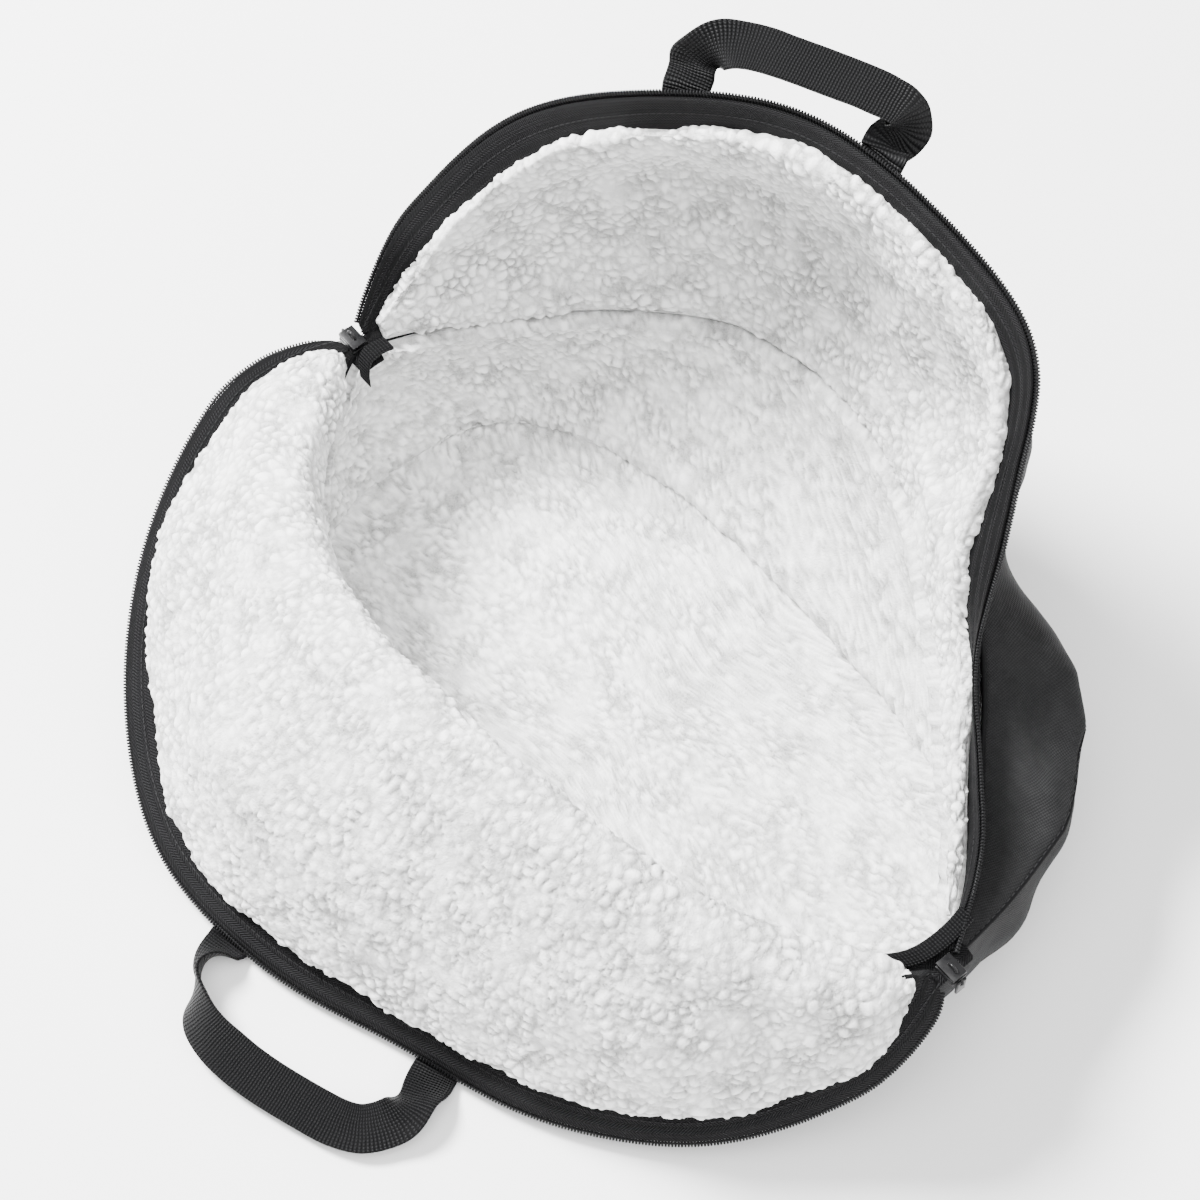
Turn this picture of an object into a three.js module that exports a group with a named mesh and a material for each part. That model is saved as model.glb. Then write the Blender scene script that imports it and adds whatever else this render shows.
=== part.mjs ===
// Open helmet bag: a flat-bottomed nylon tray with two half-moon panels, a thick fleece lining,
// one zip round the rim of both panels and two webbing handles.
// Millimetres, +Z up. +X runs along the bag from the left zip end to the right one, +Y towards the
// far panel, which stands open, and -Y towards the near panel, which is folded down to the floor.
// The origin is the middle of the tray's flat underside.

import * as THREE from 'three';

// Driving sizes of the bag
const zipHalfSpan = 233;        // from the middle to each zip end
const zipEndHeight = 110;
const trayHalfLength = 214;     // flat bottom
const trayHalfWidth = 124;
const traySquareness = 0.72;    // 1 is an ellipse, smaller is squarer
const trayHeight = 100;         // up to the seam that joins tray and panels
const trayBelly = 10;           // how far the tray's wall bulges between bottom and seam
const trayCornerRadius = 14;    // bottom edge of the tray
const cornerShare = 0.3;        // where a quarter round is halfway, as a share of its radius
const nearReach = 241;          // how far the near lip lies out
const nearFoldHeight = 158;     // ridge that the near panel folds over
const ridgeRadius = 14;         // roundness of that ridge
const ridgeShareAtEnds = 0.32;  // share of a short section that the rounding may take
const nearLipHeight = 6.2;      // near lip where it lies on the floor
const farReach = 195;           // how far out the far lip stands
const farLipHeight = 305;
const farLipFlare = 11;         // the far panel draws in this far below its lip, then flares out
const farFlareAt = 0.84;        // where it draws in most, as a share of the way from seam to lip
const farFlareSpread = 0.12;
const farBowLean = 0.8;         // below 1 the far panel bows most below its middle

// Driving sizes of cloth, zip and webbing
const fabricThickness = 1.5;
const liningThickness = 8;
const liningGap = 0.9;          // between the nylon and the fleece
const liningEdgeShare = 0.4;    // thickness left at the fleece's rounded edges
const tapeThickness = 1.2;
const tapeWidth = 19;           // from the teeth to the fleece
const stripWidth = 22;          // facing strip on the outside of the rim
const tapeShareAtEnds = 0.45;   // widest share of a short section that the tape takes
const stripShareAtEnds = 0.6;
const coilRadius = 1.7;
const seamGap = 1.0;            // from a sewn seam to the edge of each piece that meets there
const fleeceInset = 1.2;        // from the zip tape to the fleece
const clearance = 0.35;         // between pieces that touch
const webbingWidth = 25;
const webbingThickness = 1.8;
const handlePatch = 30;         // how far each leg is sewn down the panel
const patchMiddle = 0.4;
const legGap = 2.15;            // stitches hold each leg this far off the nylon
const handleReach = 55;         // how far a handle stands out from the rim
const sliderLength = 13;
const sliderWidth = 9;
const sliderHeight = 6;
const pullLength = 12;
const pullWidth = 6;
const pullThickness = 1.6;
const sliderOffset = 0.6;       // slider's middle, outward from the zip end
const sliderTaper = 0.6;        // width of its tail as a share of the width
const pullGap = 1.2;            // from the slider's nose to the middle of the pull
const endTabWidth = 9;
const endTabThickness = 1.4;
const endTabReach = 9;          // how far an end tab runs to each side
const endTabSetback = 11;       // from the zip end inwards
const endTabCurve = 6;
const endTabLift = 1.5;

// Steps that the sheets are divided into
const panelStations = 34;
const panelRows = 8;
const trayStations = 44;
const coilSides = 6;
const traySteps = [1 / 3, 2 / 3];    // rows on the tray's wall, as shares of its height
const floorRing = 0.55;             // ring on the tray's floor, as a share of its edge
const farSteps = [0, 0.2, 0.4, 0.6, 0.74, 0.87, 1];
const curveSteps = 100;
const handleStations = 40;
const normalStep = 3;           // distance over which a panel's direction is taken
const sectionStep = 0.01;       // and the share of the lip over which it is taken
const rimStart = 0.012;         // first section of the rim's pieces, as a share of the lip
const liningStart = 0.03;       // first section of the fleece

// Near panel, one row per section from the left zip end (at 0) to the right one (at 1).
// Shares: Along of zipHalfSpan, seamOut of trayHalfWidth, foldOut and lipOut of nearReach,
// seamUp of trayHeight, foldUp of nearFoldHeight, lipUp of zipEndHeight above nearLipHeight.
const nearSections = table(
  'at    seamAlong seamOut seamUp foldAlong foldOut foldUp lipAlong lipOut lipUp',
  [
    [0.00, -0.985, 0.00, 1.07, -1.000, 0.010, 0.700, -1.010, 0.020, 1.00],
    [0.05, -0.945, 0.17, 1.04, -0.985, 0.070, 0.712, -1.085, 0.150, 1.01],
    [0.10, -0.895, 0.32, 1.00, -0.935, 0.150, 0.735, -1.103, 0.320, 0.88],
    [0.20, -0.765, 0.60, 1.00, -0.800, 0.315, 0.790, -0.983, 0.610, 0.52],
    [0.30, -0.590, 0.83, 1.00, -0.605, 0.430, 0.880, -0.755, 0.842, 0.20],
    [0.40, -0.385, 0.95, 1.00, -0.390, 0.490, 0.960, -0.446, 0.983, 0.03],
    [0.50, -0.150, 1.00, 1.00, -0.150, 0.500, 1.000, -0.086, 0.971, 0.00],
    [0.60, 0.095, 1.00, 1.00, 0.095, 0.480, 1.010, 0.249, 0.859, 0.00],
    [0.70, 0.335, 0.93, 1.00, 0.335, 0.435, 0.960, 0.588, 0.734, 0.02],
    [0.80, 0.565, 0.78, 1.00, 0.570, 0.365, 0.880, 0.863, 0.519, 0.11],
    [0.90, 0.795, 0.50, 1.00, 0.810, 0.235, 0.780, 1.026, 0.249, 0.44],
    [0.96, 0.915, 0.22, 1.03, 0.945, 0.110, 0.725, 1.050, 0.091, 0.79],
    [1.00, 0.985, 0.00, 1.07, 1.000, 0.010, 0.700, 1.010, 0.020, 1.00],
  ],
);

// Fall of the near panel from its ridge to its lip: the share of the way, and how far the panel
// lies above and outside the straight line there, as shares of the drop.
const nearFall = table(
  'along lift  out',
  [
    [0.12, 0.09, 0.00],
    [0.50, 0.06, 0.07],
    [0.82, -0.05, 0.00],
  ],
);

// Far panel, in the same order. Shares: Along of zipHalfSpan, seamOut and lipOut of farReach,
// seamUp of trayHeight, lipUp of farLipHeight, bow (bulge of the whole panel between seam and
// lip) and sag (bulge of the nylon alone, away from the fleece) of trayHeight.
const farSections = table(
  'at    seamAlong seamOut seamUp lipAlong lipOut lipUp bow   sag',
  [
    [0.00, -0.985, 0.00, 1.07, -1.010, 0.000, 0.361, 0.00, 0.00],
    [0.05, -0.955, 0.12, 1.04, -1.050, 0.138, 0.466, 0.03, 0.02],
    [0.10, -0.915, 0.25, 1.00, -1.040, 0.262, 0.580, 0.06, 0.03],
    [0.20, -0.805, 0.47, 1.00, -0.932, 0.512, 0.780, 0.14, 0.04],
    [0.30, -0.650, 0.70, 1.00, -0.690, 0.710, 0.934, 0.22, 0.05],
    [0.40, -0.465, 0.87, 1.00, -0.399, 0.918, 0.997, 0.26, 0.06],
    [0.50, -0.215, 0.94, 1.00, -0.052, 0.985, 0.990, 0.26, 0.06],
    [0.60, 0.055, 0.88, 1.00, 0.295, 0.950, 0.925, 0.20, 0.06],
    [0.70, 0.290, 0.73, 0.98, 0.438, 0.770, 0.711, 0.12, 0.16],
    [0.80, 0.510, 0.55, 0.94, 0.554, 0.574, 0.482, 0.08, 0.58],
    [0.86, 0.650, 0.41, 0.92, 0.695, 0.441, 0.410, 0.04, 0.60],
    [0.92, 0.795, 0.27, 0.95, 0.858, 0.272, 0.380, 0.02, 0.36],
    [1.00, 0.985, 0.00, 1.07, 1.010, 0.000, 0.361, 0.00, 0.00],
  ],
);

// Main dents and folds of the far panel: place (at, up: share of the way from seam to lip), size
// along the rim and up the panel, and depth as a share of trayHeight, outward when positive.
const farFolds = table(
  'at    up    wide  tall  depth',
  [
    [0.52, 0.30, 0.030, 0.35, -0.09],
    [0.62, 0.45, 0.045, 0.30, 0.10],
    [0.72, 0.55, 0.035, 0.30, -0.07],
    [0.30, 0.55, 0.060, 0.30, 0.06],
    [0.42, 0.70, 0.040, 0.25, -0.05],
  ],
);

// Main dents and folds of the near panel, on the stretch from its ridge to its lip.
const nearFolds = table(
  'at    up    wide  tall  depth',
  [
    [0.24, 0.60, 0.035, 0.22, -0.07],
    [0.33, 0.70, 0.040, 0.22, 0.07],
    [0.45, 0.72, 0.050, 0.20, -0.04],
    [0.62, 0.68, 0.050, 0.20, 0.05],
    [0.78, 0.62, 0.045, 0.22, -0.05],
  ],
);

// Path of each handle between its two legs at the rim. Shares: along of the distance between the
// legs, out (level, away from the bag) and up of handleReach, and the direction of the webbing's
// width as parts along, out and up.
const nearHandlePath = table(
  'along  out    up     wideAlong wideOut wideUp',
  [
    [0.000, 0.10, 0.00, 1.0, 0.00, 0.00],
    [-0.015, 0.38, 0.12, 0.8, 0.10, 0.50],
    [0.030, 0.68, 0.20, 0.4, -0.45, 1.00],
    [0.130, 0.92, 0.20, 0.2, -0.80, 0.70],
    [0.330, 1.03, 0.12, 0.0, -1.00, 0.30],
    [0.610, 1.04, 0.07, 0.0, -1.00, 0.15],
    [0.880, 0.97, 0.10, -0.3, -0.90, 0.20],
    [1.000, 0.72, 0.18, -0.7, -0.50, 0.60],
    [1.020, 0.38, 0.11, -1.0, -0.05, 0.25],
    [1.000, 0.10, 0.00, -1.0, 0.00, 0.00],
  ],
);
const farHandlePath = table(
  'along  out    up     wideAlong wideOut wideUp',
  [
    [0.000, 0.08, 0.10, 1.0, 0.00, 0.00],
    [0.000, 0.13, 0.25, 1.0, -0.15, 0.15],
    [0.090, 0.22, 0.43, 0.7, -0.70, -0.20],
    [0.250, 0.28, 0.53, 0.2, -1.00, -0.20],
    [0.450, 0.28, 0.59, 0.0, -1.00, -0.10],
    [0.670, 0.28, 0.62, 0.0, -1.00, -0.10],
    [0.890, 0.28, 0.63, -0.2, -1.00, -0.05],
    [1.040, 0.27, 0.56, -0.7, -0.70, 0.20],
    [1.060, 0.18, 0.39, -1.0, -0.15, 0.15],
    [1.000, 0.09, 0.27, -1.0, 0.00, 0.00],
  ],
);
const nearLegs = [0.472, 0.628];   // sections where the near handle is sewn on
const farLegs = [0.327, 0.457];

const nylon = new THREE.MeshStandardMaterial({ color: 0x2b2b2d, roughness: 0.78, metalness: 0 });
const fleece = new THREE.MeshStandardMaterial({ color: 0xf1f0ee, roughness: 0.95, metalness: 0 });
const webbing = new THREE.MeshStandardMaterial({ color: 0x1b1b1c, roughness: 0.6, metalness: 0 });
const tape = new THREE.MeshStandardMaterial({ color: 0x202021, roughness: 0.7, metalness: 0 });
const teeth = new THREE.MeshStandardMaterial({ color: 0x1a1a1b, roughness: 0.42, metalness: 0 });
const enamel = new THREE.MeshStandardMaterial({ color: 0x121213, roughness: 0.28, metalness: 0.7 });

// Rows of a table as objects, with the column names taken from its heading
function table(heading, rows) {
  const names = heading.trim().split(/\s+/);
  return rows.map((row) => Object.fromEntries(names.map((name, i) => [name, row[i]])));
}

// Smooth value of one column between the rows of a table
function column(rows, name, at) {
  let i = 0;
  while (i < rows.length - 2 && at > rows[i + 1].at) {
    i += 1;
  }
  const slope = (k) => {
    const low = rows[Math.max(k - 1, 0)];
    const high = rows[Math.min(k + 1, rows.length - 1)];
    return (high[name] - low[name]) / (high.at - low.at);
  };
  const span = rows[i + 1].at - rows[i].at;
  const t = (at - rows[i].at) / span;
  const rise = t * t * (3 - 2 * t);
  const start = t * (1 - t) * (1 - t) * span * slope(i);
  const end = t * t * (t - 1) * span * slope(i + 1);
  return rows[i][name] * (1 - rise) + rows[i + 1][name] * rise + start + end;
}

// Sum of the table's dents and folds at one place of a panel
function foldDepth(folds, at, up) {
  return folds.reduce((sum, fold) => {
    const across = (at - fold.at) / fold.wide;
    const along = (up - fold.up) / fold.tall;
    return sum + fold.depth * trayHeight * Math.exp(-across * across - along * along);
  }, 0);
}

// Level direction from the bag's middle outward, at a point of the seam
function outwardAt(point, side) {
  const along = point.x / (zipHalfSpan * zipHalfSpan);
  const across = (Math.max(Math.abs(point.y), trayHalfWidth / 4) * side) / (farReach * farReach);
  return new THREE.Vector3(along, across, 0).normalize();
}

function nearSeam(at) {
  return new THREE.Vector3(
    column(nearSections, 'seamAlong', at) * zipHalfSpan,
    -column(nearSections, 'seamOut', at) * trayHalfWidth,
    column(nearSections, 'seamUp', at) * trayHeight,
  );
}

function farSeam(at) {
  return new THREE.Vector3(
    column(farSections, 'seamAlong', at) * zipHalfSpan,
    column(farSections, 'seamOut', at) * farReach,
    column(farSections, 'seamUp', at) * trayHeight,
  );
}

// Far seam of the nylon, which sags away from the fleece
function farOuterSeam(at) {
  const seam = farSeam(at);
  return seam.addScaledVector(outwardAt(seam, 1), column(farSections, 'sag', at) * trayHeight);
}

// Section of the near panel: up from the seam, over the ridge and down to the lip
function nearCurve(at) {
  const fold = new THREE.Vector3(
    column(nearSections, 'foldAlong', at) * zipHalfSpan,
    -column(nearSections, 'foldOut', at) * nearReach,
    column(nearSections, 'foldUp', at) * nearFoldHeight,
  );
  const lip = new THREE.Vector3(
    column(nearSections, 'lipAlong', at) * zipHalfSpan,
    -column(nearSections, 'lipOut', at) * nearReach,
    nearLipHeight + column(nearSections, 'lipUp', at) * (zipEndHeight - nearLipHeight),
  );
  const drop = fold.z - lip.z;
  const fall = nearFall.map((row) => {
    const point = fold.clone().lerp(lip, row.along);
    point.y -= drop * row.out;
    point.z += drop * row.lift;
    return point;
  });
  const points = [nearSeam(at), fold, ...fall, lip];
  const curve = new THREE.CatmullRomCurve3(points, false, 'centripetal');
  return { curve, ridgeAt: 1 / (points.length - 1) };
}

// Section of the far panel: from the seam up to the lip, bowed outward
function farCurve(at) {
  const seam = farSeam(at);
  const lip = new THREE.Vector3(
    column(farSections, 'lipAlong', at) * zipHalfSpan,
    column(farSections, 'lipOut', at) * farReach,
    column(farSections, 'lipUp', at) * farLipHeight,
  );
  const bow = column(farSections, 'bow', at) * trayHeight;
  const outward = outwardAt(seam, 1);
  const flare = farLipFlare * Math.min((lip.z - seam.z) / trayHeight, 1);
  const points = farSteps.map((share) => {
    const bulge = bow * Math.sin(Math.PI * Math.pow(share, farBowLean));
    const nearness = Math.exp(-Math.pow((share - farFlareAt) / farFlareSpread, 2));
    const drawnIn = (flare * nearness * (1 - share)) / (1 - farFlareAt);
    return seam.clone().lerp(lip, share).addScaledVector(outward, bulge - drawnIn);
  });
  return { curve: new THREE.CatmullRomCurve3(points, false, 'centripetal') };
}

// How far the far nylon sags away from the fleece, growing from the facing strip to the seam
function farSag(at, fromLip, length) {
  const strip = stripEnd(length);
  const share = THREE.MathUtils.clamp((fromLip - strip) / (length - strip), 0, 1);
  const sag = column(farSections, 'sag', at) * trayHeight;
  return outwardAt(farSeam(at), 1).multiplyScalar(sag * Math.sin((Math.PI / 2) * share));
}

// Distances from the lip where the facing strip ends, and where all bands and rows of a panel meet.
// A panel with a ridge has rows on the ridge and close to both sides of it.
function stripEnd(length) {
  return Math.min(stripWidth, length * stripShareAtEnds);
}

function bandEdges(length, ridge) {
  const stripEdge = stripEnd(length);
  const seam = length - seamGap;
  const tapeEdge = Math.min(tapeWidth, length * tapeShareAtEnds);
  const edges = [coilRadius + clearance, tapeEdge, stripEdge];
  const evenly = (from, to, count) => {
    for (let row = 1; row <= count; row += 1) {
      edges.push(from + ((to - from) * row) / count);
    }
  };
  if (!ridge) {
    evenly(stripEdge, seam, panelRows);
    return edges;
  }
  const outerSide = ridge - Math.min(ridgeRadius, (ridge - stripEdge) * ridgeShareAtEnds);
  const innerSide = ridge + Math.min(ridgeRadius, (seam - ridge) * ridgeShareAtEnds);
  evenly(stripEdge, outerSide, panelRows - 4);
  edges.push(ridge, innerSide);
  evenly(innerSide, seam, 2);
  return edges;
}

// A panel: its place at (section, millimetres from the lip, millimetres towards the fleece side)
function makePanel(curveOf, folds, fleeceSide, sagOf) {
  const cache = new Map();
  const curveAt = (at) => {
    if (!cache.has(at)) {
      const { curve, ridgeAt } = curveOf(at);
      const lengths = curve.getLengths(curveSteps);
      const length = lengths[curveSteps];
      const ridge = ridgeAt ? length - lengths[Math.round(ridgeAt * curveSteps)] : 0;
      cache.set(at, { curve, length, edges: bandEdges(length, ridge) });
    }
    return cache.get(at);
  };
  const bare = (at, fromLip) => {
    const { curve, length } = curveAt(at);
    const place = curve.getPointAt(THREE.MathUtils.clamp(1 - fromLip / length, 0, 1));
    return sagOf ? place.add(sagOf(at, fromLip, length)) : place;
  };
  const normalAt = (at, fromLip) => {
    const length = curveAt(at).length;
    const step = Math.min(normalStep, length / 5);
    const middle = THREE.MathUtils.clamp(fromLip, step, length - step);
    const up = bare(at, middle - step).sub(bare(at, middle + step));
    const low = Math.max(at - sectionStep, 0);
    const high = Math.min(at + sectionStep, 1);
    const share = middle / length;
    const along = bare(high, share * curveAt(high).length).sub(bare(low, share * curveAt(low).length));
    return along.cross(up).normalize().multiplyScalar(fleeceSide);
  };
  const point = (at, fromLip, inward) => {
    const share = THREE.MathUtils.clamp(1 - fromLip / curveAt(at).length, 0, 1);
    const depth = foldDepth(folds, at, share) * Math.sin(Math.PI * share);
    return bare(at, fromLip).addScaledVector(normalAt(at, fromLip), inward - depth);
  };
  return { point, normalAt, edges: (at) => [...curveAt(at).edges] };
}

// Closed sheet between a front and a back, each given as a grid of points
function sheetBetween(front, back) {
  const rows = front.length;
  const columns = front[0].length;
  const positions = [];
  [...front, ...back].forEach((line) => line.forEach((p) => positions.push(p.x, p.y, p.z)));
  const indices = [];
  const place = (side, i, j) => side * rows * columns + i * columns + j;
  const quad = (a, b, c, d) => indices.push(a, b, c, a, c, d);
  for (let i = 0; i < rows - 1; i += 1) {
    for (let j = 0; j < columns - 1; j += 1) {
      quad(place(0, i, j), place(0, i + 1, j), place(0, i + 1, j + 1), place(0, i, j + 1));
      quad(place(1, i, j), place(1, i, j + 1), place(1, i + 1, j + 1), place(1, i + 1, j));
    }
  }
  for (let i = 0; i < rows - 1; i += 1) {
    quad(place(0, i, 0), place(1, i, 0), place(1, i + 1, 0), place(0, i + 1, 0));
    const last = columns - 1;
    quad(place(0, i + 1, last), place(1, i + 1, last), place(1, i, last), place(0, i, last));
  }
  for (let j = 0; j < columns - 1; j += 1) {
    quad(place(0, 0, j + 1), place(1, 0, j + 1), place(1, 0, j), place(0, 0, j));
    const last = rows - 1;
    quad(place(0, last, j), place(1, last, j), place(1, last, j + 1), place(0, last, j + 1));
  }
  return facingOut(geometryFrom(positions, indices));
}

function geometryFrom(positions, indices) {
  const geometry = new THREE.BufferGeometry();
  geometry.setAttribute('position', new THREE.Float32BufferAttribute(positions, 3));
  geometry.setIndex(indices);
  geometry.computeVertexNormals();
  return geometry;
}

// Turns every face round when the closed surface holds a negative volume
function facingOut(geometry) {
  const position = geometry.attributes.position;
  const index = geometry.index;
  const corner = (k) => new THREE.Vector3().fromBufferAttribute(position, index.getX(k));
  let volume = 0;
  for (let k = 0; k < index.count; k += 3) {
    volume += corner(k).dot(corner(k + 1).cross(corner(k + 2)));
  }
  if (volume < 0) {
    for (let k = 0; k < index.count; k += 3) {
      const second = index.getX(k + 1);
      index.setX(k + 1, index.getX(k + 2));
      index.setX(k + 2, second);
    }
  }
  geometry.computeVertexNormals();
  return geometry;
}

// Sections that every layer of a panel shares, so that the layers stay parallel
function stationsAlong(skippedAtEnds) {
  const inner = [...Array(panelStations - 1).keys()].map(
    (i) => liningStart + ((1 - 2 * liningStart) * i) / (panelStations - 2),
  );
  return skippedAtEnds > 0 ? inner : [rimStart, ...inner, 1 - rimStart];
}

// Band of a panel between two of its band edges and two depths, thinner at its rim if edgeShare < 1
function panelBand(panel, band) {
  const front = [];
  const back = [];
  const stations = stationsAlong(band.skippedAtEnds);
  stations.forEach((at, i) => {
    const edges = panel.edges(at).slice(band.firstEdge, band.lastEdge + 1);
    edges[0] += band.lipGap;
    const frontLine = [];
    const backLine = [];
    edges.forEach((fromLip, j) => {
      const atRim = i === 0 || i === stations.length - 1 || j === 0 || j === edges.length - 1;
      const thickness = (band.high - band.low) * (atRim ? band.edgeShare : 1);
      frontLine.push(panel.point(at, fromLip, band.low + thickness));
      backLine.push(panel.point(at, fromLip, band.low));
    });
    front.push(frontLine);
    back.push(backLine);
  });
  return sheetBetween(front, back);
}

// Sections of the tray: from the middle of the floor out to the corner and up the wall to a seam
function traySection(station, inward) {
  const far = station > trayStations / 2;
  const at = far ? 2 - (2 * station) / trayStations : (2 * station) / trayStations;
  const side = far ? 1 : -1;
  const ring = (halfLength, halfWidth, height) => {
    const across = Math.sin(Math.PI * at);
    const along = -Math.cos(Math.PI * at);
    return new THREE.Vector3(
      Math.sign(along) * Math.pow(Math.abs(along), traySquareness) * halfLength,
      side * Math.pow(Math.max(across, 0), traySquareness) * halfWidth,
      height,
    );
  };
  const shrunk = trayCornerRadius + inward;
  const floorEdge = ring(trayHalfLength - shrunk, trayHalfWidth - shrunk, inward);
  const cornerInset = shrunk * cornerShare;
  const cornerHeight = inward + trayCornerRadius * cornerShare;
  const corner = ring(trayHalfLength - cornerInset, trayHalfWidth - cornerInset, cornerHeight);
  const wallFoot = ring(trayHalfLength - inward, trayHalfWidth - inward, inward + trayCornerRadius);
  const liningSeam = far ? farSeam(at) : nearSeam(at);
  const seam = far && inward < fabricThickness * 2 ? farOuterSeam(at) : liningSeam;
  const outward = outwardAt(seam, side);
  const top = seam.clone().addScaledVector(outward, -inward);
  top.z -= seamGap;
  const wall = traySteps.map((share) => {
    const point = wallFoot.clone().lerp(top, share);
    return point.addScaledVector(outward, trayBelly * Math.sin(Math.PI * share));
  });
  return { floorEdge, corner, wallFoot, wall, top };
}

// Closed tray between two depths inside the tray's outer face, open at the top
function trayBetween(outerDepth, innerDepth) {
  const positions = [];
  const indices = [];
  const rowsOf = (station, depth) => {
    const { floorEdge, corner, wallFoot, wall, top } = traySection(station, depth);
    const ring = new THREE.Vector3(floorEdge.x * floorRing, floorEdge.y * floorRing, depth);
    return [ring, floorEdge, corner, wallFoot, ...wall, top];
  };
  const outer = [];
  const inner = [];
  for (let station = 0; station < trayStations; station += 1) {
    outer.push(rowsOf(station, outerDepth));
    inner.push(rowsOf(station, innerDepth));
  }
  const rows = outer[0].length;
  outer.forEach((line) => line.forEach((p) => positions.push(p.x, p.y, p.z)));
  inner.forEach((line) => line.forEach((p) => positions.push(p.x, p.y, p.z)));
  const outerMiddle = positions.length / 3;
  positions.push(0, 0, outerDepth, 0, 0, innerDepth);
  const place = (side, station, row) => side * trayStations * rows + (station % trayStations) * rows + row;
  for (let i = 0; i < trayStations; i += 1) {
    indices.push(outerMiddle, place(0, i, 0), place(0, i + 1, 0));
    indices.push(outerMiddle + 1, place(1, i + 1, 0), place(1, i, 0));
    for (let row = 0; row < rows - 1; row += 1) {
      indices.push(place(0, i, row), place(0, i, row + 1), place(0, i + 1, row + 1));
      indices.push(place(0, i, row), place(0, i + 1, row + 1), place(0, i + 1, row));
      indices.push(place(1, i, row), place(1, i + 1, row + 1), place(1, i, row + 1));
      indices.push(place(1, i, row), place(1, i + 1, row), place(1, i + 1, row + 1));
    }
    const rim = rows - 1;
    indices.push(place(0, i, rim), place(1, i, rim), place(1, i + 1, rim));
    indices.push(place(0, i, rim), place(1, i + 1, rim), place(0, i + 1, rim));
  }
  return facingOut(geometryFrom(positions, indices));
}

// Closed tube round a line of centres, with two directions across it at each
function tubeAlong(stations, radius, sides) {
  const positions = [];
  const indices = [];
  stations.forEach(({ centre, across, over }) => {
    for (let k = 0; k < sides; k += 1) {
      const turn = (2 * Math.PI * k) / sides;
      const p = centre.clone()
        .addScaledVector(across, radius * Math.cos(turn))
        .addScaledVector(over, radius * Math.sin(turn));
      positions.push(p.x, p.y, p.z);
    }
  });
  const last = stations.length - 1;
  for (let i = 0; i < last; i += 1) {
    for (let k = 0; k < sides; k += 1) {
      const a = i * sides + k;
      const b = i * sides + ((k + 1) % sides);
      indices.push(a, b, b + sides, a, b + sides, a + sides);
    }
  }
  for (let k = 1; k < sides - 1; k += 1) {
    indices.push(0, k + 1, k, last * sides, last * sides + k, last * sides + k + 1);
  }
  return facingOut(geometryFrom(positions, indices));
}

// Row of teeth along a lip
function lipTube(panel) {
  const stations = stationsAlong(0).map((at) => {
    const over = panel.normalAt(at, 0);
    const centre = panel.point(at, 0, fabricThickness / 2);
    const across = centre.clone().sub(panel.point(at, coilRadius * 2, fabricThickness / 2));
    across.addScaledVector(over, -across.dot(over)).normalize();
    return { centre, across, over };
  });
  return tubeAlong(stations, coilRadius, coilSides);
}

// Strap of constant width and thickness along centre points with a width direction at each
function strap(centres, widths, width, thickness, stations) {
  const path = new THREE.CatmullRomCurve3(centres, false, 'centripetal');
  const front = [];
  const back = [];
  for (let i = 0; i <= stations; i += 1) {
    const t = i / stations;
    const place = t * (centres.length - 1);
    const k = Math.min(Math.floor(place), centres.length - 2);
    const blend = place - k;
    const tangent = path.getTangent(t);
    const across = widths[k].clone().lerp(widths[k + 1], blend * blend * (3 - 2 * blend));
    across.addScaledVector(tangent, -across.dot(tangent)).normalize();
    const normal = tangent.clone().cross(across).normalize();
    const centre = path.getPoint(t);
    const corner = (side, face) => centre.clone()
      .addScaledVector(across, (side * width) / 2)
      .addScaledVector(normal, (face * thickness) / 2);
    front.push([corner(-1, 1), corner(1, 1)]);
    back.push([corner(-1, -1), corner(1, -1)]);
  }
  return sheetBetween(front, back);
}

// Webbing handle: sewn down the outside of a panel at two sections, with a free loop between
function handleOn(panel, legs, pathRows) {
  const depth = -(legGap + webbingThickness / 2);
  const foot = (at, fromLip) => panel.point(at, fromLip, depth);
  const [left, right] = legs.map((at) => panel.point(at, 0, depth - coilRadius / 2));
  const chord = right.clone().sub(left);
  chord.z = 0;
  const along = chord.clone().normalize();
  const outward = along.clone().cross(new THREE.Vector3(0, 0, 1));
  if (outward.y * left.y < 0) {
    outward.negate();
  }
  const rimAlong = (at) => foot(at + sectionStep, 0).sub(foot(at - sectionStep, 0)).normalize();
  const [leftRim, rightRim] = legs.map(rimAlong);
  const centres = [foot(legs[0], handlePatch), foot(legs[0], handlePatch * patchMiddle), left];
  const widths = [leftRim, leftRim, leftRim];
  pathRows.forEach((row) => {
    const centre = left.clone()
      .addScaledVector(along, row.along * chord.length())
      .addScaledVector(outward, row.out * handleReach);
    centre.z = left.z + row.up * handleReach;
    centres.push(centre);
    widths.push(along.clone().multiplyScalar(row.wideAlong)
      .addScaledVector(outward, row.wideOut)
      .add(new THREE.Vector3(0, 0, row.wideUp)));
  });
  centres.push(right, foot(legs[1], handlePatch * patchMiddle), foot(legs[1], handlePatch));
  const back = rightRim.clone().negate();
  widths.push(back, back, back);
  return strap(centres, widths, webbingWidth, webbingThickness, handleStations);
}

// Zip slider body, narrower at its tail, lying along X with its nose towards +X
function sliderBody() {
  const outline = new THREE.Shape();
  const half = sliderWidth / 2;
  outline.moveTo(-sliderLength / 2, -half * sliderTaper);
  outline.lineTo(sliderLength / 2, -half);
  outline.lineTo(sliderLength / 2, half);
  outline.lineTo(-sliderLength / 2, half * sliderTaper);
  outline.closePath();
  const geometry = new THREE.ExtrudeGeometry(outline, { depth: sliderHeight, bevelEnabled: false });
  return geometry.translate(0, 0, -sliderHeight / 2);
}

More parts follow.
